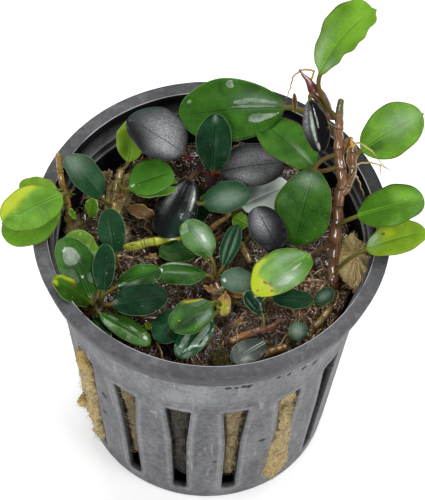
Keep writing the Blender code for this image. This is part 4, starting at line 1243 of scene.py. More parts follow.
def leaf_finish(name, deep, light, rim, back, roughness, specular):
    """Mottled skin, midrib, rim and underside, and the states that the leaf carries as numbers."""
    constants = {"Specular IOR Level": specular, "Coat Roughness": 0.06, "Coat IOR": 1.7}
    finish = Finish("leaf_skin_" + name, constants)
    carried = finish.carried
    along, across, share = carried("along"), carried("across"), carried("share")
    margin, under, silver = carried("margin"), carried("under"), carried("silver")
    clouds = finish.noise(3.2, 3.0)
    ragged = finish.noise(0.9, 4.0, 0.65)
    grain = finish.noise(0.22, 2.0, 0.6)
    glitter = finish.noise(0.17, 2.0, 0.6).step(0.32, 0.68)
    pebbles = finish.noise(0.32, 2.0, 0.6).step(0.36, 0.64)
    on_blade = along.step(-0.02, 0.06)
    rib = abs(across).step(0.12, 0.03) * along.step(0.97, 0.7) * on_blade
    flanks = near(abs(across), 0.2, 0.14, 0.03) * along.step(0.8, 0.1) * on_blade
    side_veins = ((along * 8.0 - abs(share) * 3.0 + clouds * 0.6) * math.pi).sine()
    veins = abs(side_veins).step(0.3, 0.0) * margin.step(0.15, 0.8) * on_blade
    lines = abs((share * 24.0 + clouds * 2.0).sine()).step(0.55, 0.1) * carried("lines") * on_blade
    shade = clouds * 1.2 + grain * 0.3 + pebbles * 0.12 + carried("tone") - 0.34
    blotch = ragged * 0.6 + clouds * 0.4
    yellowed = (carried("yellow") + blotch * 0.5 - 0.35).step(0.15, 0.95)
    scorched = (carried("brown") * 1.3 + blotch * 0.8 - 0.6).step(0.25, 0.55)
    specks = finish.noise(0.5, 1.0, 0.5).step(0.71, 0.78) * finish.noise(2.6).step(0.46, 0.64)
    # dew specks: a real coat and bump, and a pale colour that is a painted glint
    dew_and_painted_glints = specks * on_blade * (1 - under)
    wet = (carried("wet") + ragged * 0.8 + glitter * 0.04 - 0.42).step(0.34, 0.46)
    skin = finish.layers(
        finish.mix(deep, light, shade.step(-0.08, 1.08)),
        (YELLOWING, carried("warm") * (0.25 + 0.35 * clouds)),
        # light marks: partly the leaf's own paler patches, partly painted light
        (light, carried("light") * 0.7 + veins * 0.04),
        (rim, lines * 0.15),
        # dark marks: partly the leaf's own darker patches, partly painted shade, as in a fold
        (deep, carried("dark") * 0.7),
        (GREEN_CAST, carried("green") * 0.6),
        (light, flanks * 0.55),
        # silver: the bloom in the skin, and with it a painted sheen
        (SILVER_BLOOM_AND_SHEEN, silver * (0.12 + 0.5 * glitter + 0.25 * ragged + lines * 0.35)),
        (deep, rib * 0.7),
        (finish.mix(rim, RED_RIM, carried("rim")), margin.step(0.15, 0.06) * 0.85),
        (back, under * 0.8),
        (YELLOWING, yellowed * 0.75),
        (SCORCH, scorched * 0.85),
        # haze: partly a dried film, partly a painted sheen
        (PALE_FILM_AND_PAINTED_SHEEN, carried("haze") * (0.08 + 0.12 * glitter + 0.2 * ragged)),
        # painted glints on the dew specks
        (PALE_FILM_AND_PAINTED_SHEEN, dew_and_painted_glints * 0.28),
        # painted reflection: where water lies, the skin is painted pale, as the water would mirror
        # the lamps
        (PALE_FILM_AND_PAINTED_SHEEN, wet * (0.14 + 0.34 * clouds.step(0.35, 0.6) + 0.16 * glitter)),
    )
    stalk = finish.mix(STALK_OLIVE, STALK_RED, carried("stalk") * along.step(0.3, -0.1))
    pores = pebbles * 0.16 + grain * (0.25 + silver * 0.5)
    finish.relief(clouds * 1.0 + pores + ragged * 0.3 + veins * -0.15 + wet * 0.3 + dew_and_painted_glints * 0.5, 0.06)
    return finish.wear(
        Base_Color=finish.mix(stalk, skin, on_blade),
        Roughness=roughness + 0.16 * grain + under * 0.2 - on_blade.step(0.9, 0.1) * 0.15,
        Coat_Weight=wet * 0.95 + (carried("film") * clouds.step(0.3, 0.6) + dew_and_painted_glints * 0.8) * (1 - wet),
    )


leaf_skins = {name: leaf_finish(name, *settings) for name, settings in KINDS.items()}
print("leaf finishes:", ", ".join(leaf_skins))

# %% Put the leaves in
leaf_pieces = []


def put_leaf(name, row, habit, stands_for=None):
    """One leaf as a closed piece that starts on its stem. Its seed is its number in the list."""
    start, *form, kind = row
    foot = start if kind == "dead" else onto_stem(start)
    seed = len(leaf_pieces) + 1
    rings, first, tip, carried = leaf_surface(foot, *form, {**PLAIN, **habit}, seed)
    slot = "bark" if kind == "dead" else "leaf_" + kind
    shape = close_rings(rings, first, tip)
    skin = leaf_skins[kind]
    leaf_pieces.append(put_piece(name, shape, skin, slot, stands_for, with_poles(carried)))


for shoot, leaves in LEAVES.items():
    for place, row in leaves.items():
        habit = HABITS[shoot].get(place, {})
        put_leaf(f"{shoot}_{place}_blade", row, habit, f"{shoot}_leaf_{place}")
for name, row in SMALL_LEAVES.items():
    put_leaf(name, row, HABITS["small"].get(name, {}))
print("leaves in place:", len(leaf_pieces))

# %% [markdown]
# ## Stems, rhizomes and twigs
#
# The stems are thin and woody. Each has a fine dark scar ring where a leaf once sat, and the
# stretch between two rings is smooth, faintly wrinkled lengthwise and wet. A stem is a circle
# carried along its route, whose radius swells a little at its rings.

# %% Rings on the stems
RINGS = {
    # name: the rings' places along the stem, as shares of its length
    "tall_stem": (0.19, 0.26, 0.38, 0.48, 0.575, 0.69, 0.8, 0.91),
    "tall_stem_fork": (0.25, 0.6, 0.9),
    "dark_shoot_stem": (0.2, 0.45, 0.7, 0.88),
    "runner": (0.34, 0.4, 0.56),
    "left_stem": (0.15, 0.35, 0.6, 0.8),
    "back_left_stem": (0.2, 0.5, 0.8),
    "front_left_crown": (0.3, 0.7),
    "centre_rhizome": (0.15, 0.4, 0.65, 0.85),
    "front_rhizome": (0.15, 0.42, 0.62, 0.8),
    "olive_twig": (0.3, 0.62),
    "front_twig": (0.25, 0.5, 0.75),
    "middle_twig": (0.35, 0.6),
    "golden_twig": (0.25, 0.5, 0.75),
}
RING_SWELL, RING_WIDTH = 0.1, 0.17


# %% The stem's surface
ROUTE_WANDER, WANDER_SIZE, KNOT_ROUNDING, STEM_SIDES = 0.08, 2.5, 0.6, 24


def stem_surface(knots, first_radius, last_radius, rings, seed, wrinkle=0.03, belly=0.0):
    """Circles along the route. Their radius tapers, swells by a bell at each ring, wrinkles
    with the turn, and closes as a quarter circle at both ends."""
    rng = np.random.default_rng(seed)
    route = smooth_route(knots, 40 + 16 * len(knots))
    run = np.append(0, np.cumsum(np.linalg.norm(np.diff(route, axis=0), axis=1)))
    length = run[-1]
    along = run / length
    route = route + ROUTE_WANDER * ripples(route, WANDER_SIZE, seed, 5)
    directions = unit(np.gradient(route, axis=0))
    reference = (0.0, 1.0, 0.0) if abs(directions[0, 1]) < 0.7 else (1.0, 0.0, 0.0)
    sides_to = unit(np.cross(directions, reference))
    ups = np.cross(directions, sides_to)
    swollen = belly * np.sin(np.pi * along) ** 2
    radius = first_radius + (last_radius - first_radius) * along + swollen
    ring = np.zeros(len(route))
    for at in rings:
        ring += np.exp(-(((along - at) * length / RING_WIDTH) ** 2))
    radius = radius * (0.95 + RING_SWELL * ring + 0.05 * np.sin(run * 1.9 + rng.uniform(0, 6)))
    from_end = np.minimum(run, length - run) / (KNOT_ROUNDING * radius)
    closing = np.sqrt(np.clip(1 - (1 - np.clip(from_end, 0.02, 1)) ** 2, 0, 1))
    turn = full_turn(STEM_SIDES)
    folds = 1 + wrinkle * np.sin(5 * turn + 3 * along[:, None] + rng.uniform(0, 6))
    folds = folds + wrinkle * 0.7 * np.sin(9 * turn + 5 * along[:, None])
    reach = ((radius * closing)[:, None] * folds)[..., None]
    circle = np.cos(turn)[..., None] * sides_to[:, None] + np.sin(turn)[..., None] * ups[:, None]
    carried = {
        "ring": np.repeat(ring[:, None], STEM_SIDES, 1),
        "run": np.repeat(run[:, None], STEM_SIDES, 1),
        "turn": np.repeat(np.abs(turn - math.pi), len(route), 0),
    }
    return close_rings(route[:, None] + reach * circle, route[0], route[-1]), with_poles(carried)


# %% [markdown]
# ## Bark
#
# Old bark is brown to dark red, young bark olive to tan, and each is darker at its rings. It
# is streaked along the stem, so the streaks are drawn in the stem's own measures: how far
# along it, and round it. Water lies on it in patches between the rings, and the lamps draw a
# short white glint in each. A pale scurf is painted in the same patches; it is partly scurf and
# partly a painted whitish sheen. Two kinds turn golden or pink near their foot.

# %% Bark finishes
BARKS = {
    # name: deep, light, ring, roughness, how wet
    "bark": ((0.075, 0.026, 0.011), (0.35, 0.16, 0.068), (0.026, 0.01, 0.006), 0.28, 1.0),
    "olive_bark": ((0.055, 0.04, 0.012), (0.2, 0.17, 0.06), (0.11, 0.045, 0.015), 0.36, 0.6),
    "young_bark": ((0.11, 0.07, 0.016), (0.39, 0.29, 0.08), (0.11, 0.045, 0.015), 0.34, 0.7),
    "golden_bark": ((0.16, 0.075, 0.01), (0.48, 0.27, 0.045), (0.11, 0.045, 0.015), 0.3, 0.9),
    "red_bark": ((0.07, 0.02, 0.012), (0.34, 0.13, 0.075), (0.06, 0.016, 0.01), 0.34, 0.8),
    "dark_bark": ((0.012, 0.005, 0.007), (0.065, 0.028, 0.036), (0.008, 0.004, 0.005), 0.28, 0.9),
    "runner": ((0.26, 0.31, 0.01), (0.6, 0.68, 0.07), (0.13, 0.055, 0.015), 0.33, 0.6),
    "sheath": ((0.03, 0.006, 0.006), (0.26, 0.045, 0.032), (0.03, 0.008, 0.008), 0.36, 0.8),
    "bud": ((0.45, 0.16, 0.02), (0.75, 0.38, 0.08), (0.3, 0.1, 0.02), 0.45, 0.2),
}
OLIVE_CAST, PALE_SCURF_AND_SHEEN = (0.16, 0.14, 0.03), (0.46, 0.4, 0.34)
# how much pale scurf each bark has: partly scurf, partly a painted sheen
SHEEN_AND_SCURF_SHARES = {"runner": 0.03, "red_bark": 0.25, "sheath": 0.05, "dark_bark": 0.02}
FEET = {
    # name: the colour at its foot, how many millimetres up it fades over, and its share
    "red_bark": ((0.36, 0.16, 0.04), (4.2, 2.2), 0.75),
    "sheath": ((0.36, 0.16, 0.1), (3.6, 2.2), 0.8),
}
OWN_SLOTS = ("dark_bark", "runner", "sheath")


def bark_finish(name, deep, light, ring_colour, roughness, wet):
    """Bark streaked along the stem, dark at its rings, olive in places, under a coat of water."""
    constants = {"Specular IOR Level": 0.4, "Coat Roughness": 0.08, "Coat IOR": 1.9}
    finish = Finish("bark_" + name, constants)
    ring, run = finish.carried("ring"), finish.carried("run")
    around = {"X": finish.carried("turn") * 0.7, "Y": run * 0.12}
    place = finish.node("ShaderNodeCombineXYZ", {}, around)
    drawn = {"Vector": place, "Scale": 4.0, "Detail": 3.0}
    streaks = finish.node("ShaderNodeTexNoise", {}, drawn, "Fac")
    clouds = finish.noise(1.8, 4.0)
    grain = finish.noise(0.25, 3.0, 0.65)
    patchy = streaks * 0.6 + grain * 0.5
    colour = finish.layers(
        finish.mix(deep, light, (clouds * 0.8 + streaks * 0.6 + grain * 0.3 - 0.35).step(0.0, 1.0)),
        (OLIVE_CAST, finish.noise(4.0).step(0.52, 0.72) * 0.45),
        (ring_colour, ring.step(0.3, 0.9) * 0.7),
        # pale scurf in the wet patches: partly scurf, partly a painted whitish sheen
        (PALE_SCURF_AND_SHEEN, patchy.step(0.52, 0.66) * SHEEN_AND_SCURF_SHARES.get(name, 0.1)),
    )
    if name in FEET:
        tint, reach, share = FEET[name]
        colour = finish.mix(colour, tint, run.step(*reach) * share)
    finish.relief(grain * 0.5 + clouds * 0.5 + streaks * 0.8, 0.1 if name == "red_bark" else 0.05)
    return finish.wear(
        Base_Color=colour, Roughness=roughness + 0.25 * grain,
        Coat_Weight=patchy.step(0.4, 0.56) * (1 - ring.step(0.3, 0.8)) * wet,
    )


bark_skins = {name: bark_finish(name, *settings) for name, settings in BARKS.items()}
print("bark finishes:", ", ".join(bark_skins))

# %% Put the stems in
WRINKLED, SMOOTH, WRINKLED_KINDS = 0.1, 0.03, ("sheath", "red_bark")


def put_stem(name, row, stands_for, seed):
    """A stem or twig as one closed piece. A joined one starts inside the stem that carries it."""
    knots, first_radius, last_radius, kind = row
    if name in JOINED_STEMS:
        knots = [onto_stem(knots[0], name), *knots]
    wrinkle = WRINKLED if kind in WRINKLED_KINDS else SMOOTH
    shape, carried = stem_surface(
        knots, first_radius, last_radius, RINGS.get(name, ()), seed, wrinkle,
        BELLIES.get(name, 0.0),
    )
    title = name + "_skin" if stands_for else name
    slot = kind if kind in OWN_SLOTS else "bark"
    put_piece(title, shape, bark_skins[kind], slot, stands_for, carried)


for k, (name, row) in enumerate(STEMS.items()):
    put_stem(name, row, name, 200 + k)
for k, (name, row) in enumerate(TWIGS.items()):
    put_stem(name, row, None, 300 + k)
print("stems and twigs in place:", len(STEMS) + len(TWIGS))

# %% [markdown]
# ## Rock wool
#
# The roots are held in rock wool: fine mineral fibre, tan when clean, brown and matted here.
# It fills the cup, shows in every slot, and spills out through two of them. The body is a
# column turned about the pot's axis: its radius follows the wall, bulges into each slot and
# carries lumps, and its top is rippled. One function gives the height of that top, because
# every root and clump that lies on it needs the same height.

# %% The plug
PLUG_LOW, PLUG_HIGH, PLUG_CLEAR = 4.2, 41.2, 0.45
PLUG_ROWS, TOP_ROWS, PLUG_COLUMNS = 150, 34, 400
SLOT_FILL = {
    # slot: how far the wool stands out of it, the height below which it is empty, how pale it is
    -3: (0.9, 3.0, 0.8), -2: (0.35, 7.5, 0.34), -1: (0.2, 11.5, 0.07),
    0: (0.35, 6.0, 0.62), 1: (0.9, 3.0, 1.0), 2: (-0.4, 12.0, 0.1),
}
OTHER_FILL = (0.2, 6.0, 0.45)
BESIDE_SLOTS_PALE, SLOT_BLUR, SIDE_CLEAR = 0.12, 0.1, 0.3
CROWN_FROM, CROWN_IN, RIPPLED_FROM = 38.5, 0.8, 36.0


def mat_height(x, y):
    """Height of the mat's top: the plug's top plus ripples of three sizes."""
    flat = np.stack([x, y, np.zeros_like(x)], -1)
    coarse, middling, fine = ripple(flat, 6.0, 13), ripple(flat, 2.4, 14), ripple(flat, 1.0, 15)
    return PLUG_HIGH + 0.7 * coarse + 0.45 * middling + 0.2 * fine


def share_of(z, low, high):
    """How far a height is from low to high, kept from 0 to 1."""
    return np.clip((z - low) / (high - low), 0, 1)


def plug_surface():
    """A column about the pot's axis: radius from the wall, less a gap, plus lumps and a bulge in
    each slot that is a bell in the angle and flat in the height. Also how pale each point is, and
    how far it fills a slot."""
    wall_rows = np.linspace(PLUG_LOW, PLUG_HIGH, PLUG_ROWS)
    z = np.append(wall_rows, np.full(TOP_ROWS, PLUG_HIGH))[:, None]
    turn = full_turn(PLUG_COLUMNS)
    radius = wall_radius(z) - WALL_THICK - PLUG_CLEAR + 0 * turn
    spot = np.stack([radius * np.cos(turn), radius * np.sin(turn), z + 0 * turn], -1)
    pale, filled = np.full(radius.shape, BESIDE_SLOTS_PALE), np.zeros(radius.shape)
    low, _, high = SLOT_HEIGHTS
    half = slot_half_width(np.clip(z, low, high)) - SIDE_CLEAR
    for number in range(-SLOTS // 2, SLOTS // 2):
        proud, empty_below, tint = SLOT_FILL.get(number, OTHER_FILL)
        beside = np.abs(np.angle(np.exp(1j * (turn - slot_angle(number))))) * wall_radius(z)
        inside = 1 / (1 + np.exp((beside - half) / SLOT_BLUR))
        tall = share_of(z, empty_below, empty_below + 1.5) * share_of(z, high - 0.4, high - 1.2)
        radius = radius + inside * tall * (WALL_THICK + proud - PLUG_CLEAR)
        pale = np.where(beside < half + 1.0, tint * (0.25 + 0.75 * tall), pale)
        filled = np.maximum(filled, inside * tall)
    radius = radius + 0.24 * ripple(spot, 3.2, 11) + 0.1 * ripple(spot, 1.3, 12) - 0.25
    shrink = np.append(np.ones(PLUG_ROWS), np.linspace(0.985, 0.03, TOP_ROWS))[:, None]
    radius = (radius - CROWN_IN * share_of(z, CROWN_FROM, PLUG_HIGH) ** 2) * shrink
    x, y = radius * np.cos(turn), radius * np.sin(turn)
    height = z + (mat_height(x, y) - PLUG_HIGH) * share_of(z, RIPPLED_FROM, PLUG_HIGH)
    drawn_in = 1 - 0.04 * share_of(z, PLUG_LOW + 2, PLUG_LOW)
    return np.stack([x * drawn_in, y * drawn_in, height], -1), pale, filled


plug, plug_pale, plug_filled = plug_surface()
print("plug:", plug.shape[0] * plug.shape[1], "points")

# %% [markdown]
# ## Wet wool, wet mat
#
# One finish serves the wool and the mat of old roots on it. What differs is carried by the
# mesh as numbers. `pale` is 0 for the wet black-brown of the top and 1 for the clean tan of
# the wool that has pushed out at the front. `top` is where it is wet: there it wears a coat over
# a strong bump, and the lamps break up in it into small white glints. `mustard` is algae.

# %% Wool's finish
WOOL_BLACK, WOOL_BROWN = (0.02, 0.013, 0.009), (0.17, 0.11, 0.055)
TAN_DEEP, TAN_LIGHT, STRAW = (0.17, 0.1, 0.035), (0.58, 0.45, 0.2), (0.74, 0.58, 0.26)
OLIVE_DEEP, OLIVE_LIGHT = (0.055, 0.038, 0.014), (0.24, 0.18, 0.07)
MOSSY, SHADOW, MUSTARD = (0.05, 0.045, 0.008), (0.01, 0.008, 0.006), (0.5, 0.33, 0.06)
SOAKED_FROM, SOAKED_ABOVE = 35, 39  # the wool turns from clean to soaked between these heights


def wool_finish(name):
    """Matted fibre from black-brown to tan, mossy in patches, under a coat of water on top."""
    finish = Finish(name, {"Specular IOR Level": 0.8, "Coat Roughness": 0.07, "Coat IOR": 1.9})
    pale, top = finish.carried("pale"), finish.carried("top")
    clouds = finish.noise(3.2, 4.0)
    lumps = finish.noise(0.9, 4.0, 0.6)
    threads = finish.noise(0.3, 3.0, 0.7, finish.stretched((1, 1, 0.4)))
    fibres = (lumps * 0.6 + threads * 0.6).step(0.35, 0.8)
    colour = finish.layers(
        finish.mix(WOOL_BLACK, WOOL_BROWN, (clouds + lumps * 0.7 - 0.55).step(0.0, 0.8)),
        (finish.mix(OLIVE_DEEP, OLIVE_LIGHT, fibres), (pale + clouds * 0.3 - 0.15).step(0.0, 0.4)),
        (finish.mix(TAN_DEEP, TAN_LIGHT, fibres), (pale + clouds * 0.4 - 0.2).step(0.45, 1.0)),
        (STRAW, pale.step(1.0, 1.6) * (0.4 + lumps)),
        (MOSSY, finish.noise(5.0, 3.0).step(0.58, 0.72) * 0.4),
        (SHADOW, pale.step(0.25, 0.08) * (1 - top) * 0.85),
        (MUSTARD, finish.carried("mustard") * lumps.step(0.3, 0.6) * 0.85),
    )
    soaked = top * clouds.step(0.3, 0.5)
    finish.relief(threads * 0.5 + lumps, 0.55)
    return finish.wear(
        Base_Color=colour, Roughness=0.7 + 0.2 * threads - soaked * 0.6, Coat_Weight=soaked * 0.9,
    )


wool_skin = wool_finish("matted_wool")
on_top = share_of(plug[..., 2], SOAKED_FROM, SOAKED_ABOVE)
plug_carried = {
    "pale": np.append(plug_pale * (1 - on_top), [0, 0]),
    "top": np.append(on_top, [0, 1]),
}
plug_shape = close_rings(plug, (0, 0, PLUG_LOW), plug[-1].mean(0))
put_piece("wool_plug", plug_shape, wool_skin, "rock_wool", "rock_wool", plug_carried)
print("plug in place:", 2 * on_top.size, "triangles")

# %% [markdown]
# ## Lumps
#
# Clean wool has pushed out through two slots at the front, with mustard-coloured tips where
# algae grow on it. On top lie a few soft clumps: old wool, dead roots and moss. Each is a
# rounded body with its own ripples. A tuft follows the slot that it comes from.

# %% Lumps and tufts
LUMP_ROWS, LUMP_COLUMNS, TUFT_ROWS, TUFT_COLUMNS = 30, 48, 70, 40
ROOM_HEIGHTS, ROOM_RADII = (30, 30.1, 44.7, 45.2, 46.5), (99, 21.7, 23.3, 23.9, 24.5)


def lump_rings(centre, reach, lean, seed, rough=0.16, ridges=0.0):
    """An ellipsoid of latitude rings, turned by `lean` degrees, whose radius ripples at two sizes,
    with ridges that run down from its top, kept within the cup's wall."""
    north = np.linspace(0.03, math.pi - 0.03, LUMP_ROWS)[:, None]
    turn = full_turn(LUMP_COLUMNS)
    level = np.sin(north)
    ball = np.stack([level * np.cos(turn), level * np.sin(turn), np.cos(north) + 0 * turn], -1)
    swell = 1 + rough * ripple(ball, 1.1, seed) + rough * 0.6 * ripple(ball, 0.45, seed + 1)
    swell = swell + ridges * np.sin(11 * turn + 2 * ripple(ball, 0.8, seed + 2)) * level
    c, s = math.cos(math.radians(lean)), math.sin(math.radians(lean))
    body = ball * swell[..., None] * reach @ np.array([(c, s, 0), (-s, c, 0), (0, 0, 1)]) + centre
    far = np.hypot(body[..., 0], body[..., 1])
    inside = np.minimum(1, np.interp(body[..., 2], ROOM_HEIGHTS, ROOM_RADII) / far)
    return body * np.stack([inside, inside, np.ones(far.shape)], -1)


def tuft_rings(number, low, high, half, proud, seed):
    """Half-ellipses that lie on the wall over a slot: half-width and depth are given by height."""
    z = np.linspace(low, high, TUFT_ROWS)[:, None]
    share = np.linspace(0, 1, TUFT_ROWS)
    half, proud = (
        np.interp(share, np.linspace(0, 1, len(row)), row)[:, None] for row in (half, proud)
    )
    turn = full_turn(TUFT_COLUMNS)
    closing = np.sqrt(np.clip(1 - (2 * share - 1) ** 8, 0.002, 1))[:, None]
    across = half * np.cos(turn) * closing
    depth = np.where(np.sin(turn) > 0, proud * closing, 0.25) * np.sin(turn)
    spot = np.stack([across, depth, z + 0 * across], -1)
    front = np.clip(np.sin(turn) + 0.3, 0, 1)
    rough = 0.22 * ripple(spot, 2.0, seed) + 0.1 * ripple(spot, 0.8, seed + 1)
    radius = wall_radius(z) + 0.02 + depth + front * rough
    across = across + 0.22 * ripple(spot, 1.8, seed + 2) + 0.08 * ripple(spot, 0.7, seed + 3)
    angle = slot_angle(number) + across / wall_radius(z)
    return np.stack([radius * np.cos(angle), radius * np.sin(angle), z + 0 * across], -1)


LEFT_TUFT = (-3, 3.6, 33.2, (0.9, 1.15, 1.3, 1.6, 1.9, 2.0), (0.9, 1.1, 1.2, 1.1, 1.2, 1.3), 61)
RIGHT_TUFT = (1, 2.6, 29.0, (1.9, 2.0, 1.8, 1.25, 1.05, 1.1), (0.9, 1.0, 0.9, 0.7, 0.45, 0.3), 65)
NO_ALGAE = (90, 91, 92, 93)
LUMPS = {
    # name: rings, how pale the lump is at its bottom and top, how far it is wet, and how strong
    # the algae on it are and the heights between which they come and go
    "left_tuft": (tuft_rings(*LEFT_TUFT), 1.15, 1.1, 0, 0.95, (28.5, 31.5, 40.0, 41.0)),
    "right_tuft": (tuft_rings(*RIGHT_TUFT), 1.0, 0.85, 0, 0.35, (-2.0, -1.0, 7.0, 12.0)),
    "left_bump": (
        lump_rings((-18.9, -11.2, 15.4), (1.1, 1.1, 1.5), -20, 67, 0.25),
        1.3, 1.3, 0, 0.95, (13.5, 15.5, 40.0, 41.0),
    ),
    "right_clump": (
        lump_rings((22.3, -2.3, 44.4), (2.5, 4.6, 2.5), 12, 71, 0.09, 0.035),
        1.9, 1.25, 0.6, 0.35, (43.5, 46.5, 50.0, 51.0),
    ),
    "back_left_clump": (
        lump_rings((-15.0, 8.6, 42.6), (1.7, 4.6, 1.5), -8, 73, 0.22),
        0.8, 1.0, 0.6, 0.95, (41.6, 43.2, 50.0, 51.0),
    ),
    "small_clump": (
        lump_rings((-14.2, 3.6, 42.0), (1.3, 2.0, 1.1), 10, 75, 0.22), 0.7, 0.6, 0.6, 0, NO_ALGAE,
    ),
    "centre_clump": (
        lump_rings((2.3, -7.6, 42.2), (1.7, 1.3, 0.9), 10, 79, 0.25), 0.7, 1.0, 0.6, 0, NO_ALGAE,
    ),
    "left_clump": (
        lump_rings((-21.3, 2.6, 42.8), (1.2, 3.0, 1.9), 0, 77, 0.22), 0.5, 0.6, 0.6, 0, NO_ALGAE,
    ),
}
for name, (rings, bottom, top, wet, algae, heights) in LUMPS.items():
    shape = close_rings(rings, rings[0].mean(0), rings[-1].mean(0))
    z = shape[0][:, 2]
    share = share_of(z, z.min(), z.max())
    carried = {
        "pale": bottom + (top - bottom) * share,
        "top": np.full(z.shape, wet),
        "mustard": algae * np.interp(z, heights, (0, 1, 1, 0)),
    }
    put_piece(name, shape, wool_skin, "rock_wool", None, carried)
print("lumps:", ", ".join(LUMPS))

# %% [markdown]
# ## Threads
#
# Roots and loose fibres are thin tubes on wandering paths. A hair system could grow them, but
# hair is no mesh. So all paths of one kind are one array: path, step, place. A path's heading
# turns by a running sum of small random turns, which makes it curl, and a ring of three or
# four points around each step makes it a tube. With so many of them, each has few faces.

# %% Threads
MAT_RADIUS, HUMP, THREAD_TAPER = 22.2, 0.45, 0.75


def crawl(x, y, heading, length, steps, curl, rng):
    """Paths that crawl over the mat: the heading is a running sum of small turns, and the place a
    running sum of steps. Kept inside the wall, at the mat's height plus a hump."""
    turns = heading[:, None] + np.cumsum(rng.normal(size=(len(x), steps)) * curl, 1)
    step = (length / (steps - 1))[:, None]
    x = x[:, None] + np.cumsum(step * np.cos(turns), 1)
    y = y[:, None] + np.cumsum(step * np.sin(turns), 1)
    inside = np.minimum(1, MAT_RADIUS / np.hypot(x, y))
    x, y = x * inside, y * inside
    hump = rng.exponential(HUMP, (len(x), 1)) * np.sin(np.linspace(0, math.pi, steps)) ** 0.8
    return np.stack([x, y, mat_height(x, y) + hump + rng.uniform(-0.05, 0.2, (len(x), 1))], -1)


def bristle(roots, headings, lengths, curl, rng, steps=7):
    """Paths that stand on a surface: each heading leans by a running sum of random vectors."""
    lean = np.cumsum(rng.normal(size=(len(roots), steps, 3)), 1) * curl / math.sqrt(steps)
    moves = unit(headings[:, None] + lean) * (lengths / (steps - 1))[:, None, None]
    moves[:, 0] = 0
    return roots[:, None] + np.cumsum(moves, 1)


def put_threads(name, paths, radii, sides, finish, slot, shade):
    """Tubes of `sides` points a ring around all paths, closed at both ends, as one piece."""
    count, steps = paths.shape[:2]
    directions = unit(np.gradient(paths, axis=1))
    mean = unit(paths[:, -1] - paths[:, 0] + 1e-6)
    reference = np.where(np.abs(mean[:, 2:]) < 0.75, [[0, 0, 1.0]], [[1.0, 0, 0]])
    side = unit(np.cross(directions, reference[:, None]) + 1e-9)
    over = np.cross(directions, side)
    turn = full_turn(sides).T
    taper = radii[:, None] * (1 - THREAD_TAPER * np.linspace(0, 1, steps) ** 2)
    ring = np.cos(turn) * side[:, :, None] + np.sin(turn) * over[:, :, None]
    points = paths[:, :, None] + taper[:, :, None, None] * ring
    first = (np.arange(count) * steps * sides)[:, None, None]
    quads = (loft_quads(steps, sides)[None] + first).reshape(-1, 4)
    wedge = np.array([(0, k, k + 1) for k in range(1, sides - 1)])
    ends = np.vstack([wedge[:, ::-1], wedge + (steps - 1) * sides])
    shape = (points.reshape(-1, 3), quads, (ends[None] + first).reshape(-1, 3))
    put_piece(name, shape, finish, slot, None, {"shade": np.repeat(shade, steps * sides)})
    print(name + ":", count, "threads")


# %% [markdown]
# ## Roots' finishes
#
# A living root is smooth and wet. Old ones are red-brown to black, young ones straw-coloured.
# Each root carries its own `shade`, so one finish gives the whole mat its variety. Loose wool
# is a dry thread, with a dull, translucent look.

# %% Root finishes
THREAD_KINDS = {
    # name: colours at shades 0, 0.4, 0.75 and 1, roughness, how wet
    "wet_root": (
        (0.024, 0.015, 0.009), (0.115, 0.052, 0.024), (0.29, 0.165, 0.07), (0.62, 0.48, 0.28),
        0.18, 1.0,
    ),
    "straw_root": (
        (0.3, 0.16, 0.04), (0.46, 0.3, 0.09), (0.6, 0.45, 0.18), (0.72, 0.62, 0.36),
        0.35, 0.3,
    ),
    "loose_thread": (
        (0.07, 0.05, 0.022), (0.2, 0.15, 0.07), (0.44, 0.34, 0.17), (0.66, 0.57, 0.34),
        0.6, 0.0,
    ),
    "moss": (
        (0.02, 0.018, 0.004), (0.075, 0.065, 0.01), (0.2, 0.17, 0.03), (0.42, 0.34, 0.07),
        0.5, 0.1,
    ),
}


def thread_finish(name, darkest, dark, light, lightest, roughness, wet):
    """Colour by the thread's own shade, through four stops, cloudy along it, under a coat."""
    constants = {"Specular IOR Level": 0.5, "Coat Roughness": 0.06, "Coat IOR": 1.9}
    finish = Finish(name, {**constants, "Coat Weight": wet})
    shade = finish.carried("shade") + (finish.noise(1.4, 2.0) - 0.5) * 0.35
    colour = finish.layers(
        finish.mix(darkest, dark, shade.step(0.0, 0.4)),
        (light, shade.step(0.4, 0.75)), (lightest, shade.step(0.75, 1.0)),
    )
    return finish.wear(Base_Color=colour, Roughness=roughness + 0.2 * finish.noise(0.5, 2.0))


root_skin, straw_skin, thread_skin, moss_skin = (
    thread_finish(name, *settings) for name, settings in THREAD_KINDS.items()
)
print("thread finishes:", ", ".join(THREAD_KINDS))

# %% Roots on the mat
THICK_ROOTS, FINE_ROOTS, SCATTERED_WITHIN = 520, 2200, 21.8
rng = np.random.default_rng(41)


def scattered(count, lengths, steps, curl):
    """Paths from even random places in a disc, in random headings."""
    radius = SCATTERED_WITHIN * np.sqrt(rng.uniform(size=count))
    turn, heading = rng.uniform(0, 2 * math.pi, count), rng.uniform(0, 2 * math.pi, count)
    length = rng.uniform(*lengths, count)
    return crawl(radius * np.cos(turn), radius * np.sin(turn), heading, length, steps, curl, rng)


thick_roots = scattered(THICK_ROOTS, (3, 10), 12, 0.38)
thickness = rng.uniform(0.3, 1, THICK_ROOTS) ** 1.6 * 0.26
shade = rng.uniform(0, 0.85, THICK_ROOTS)
put_threads("thick_roots", thick_roots, thickness, 4, root_skin, "bark", shade)
fine_roots = scattered(FINE_ROOTS, (1.2, 5), 10, 0.5)
thickness = rng.uniform(0.035, 0.075, FINE_ROOTS)
shade = rng.uniform(0.1, 1.0, FINE_ROOTS) ** 1.3
put_threads("fine_roots", fine_roots, thickness, 3, root_skin, "bark", shade)

# %% [markdown]
# ## Roots at the tall stem's foot
#
# The tall stem roots where it enters the wool: a few strong roots leave its foot towards the
# front, and loose ones lie between it and the rim. Both kinds are drawn into one array, the
# strong ones first. They have random numbers of their own.

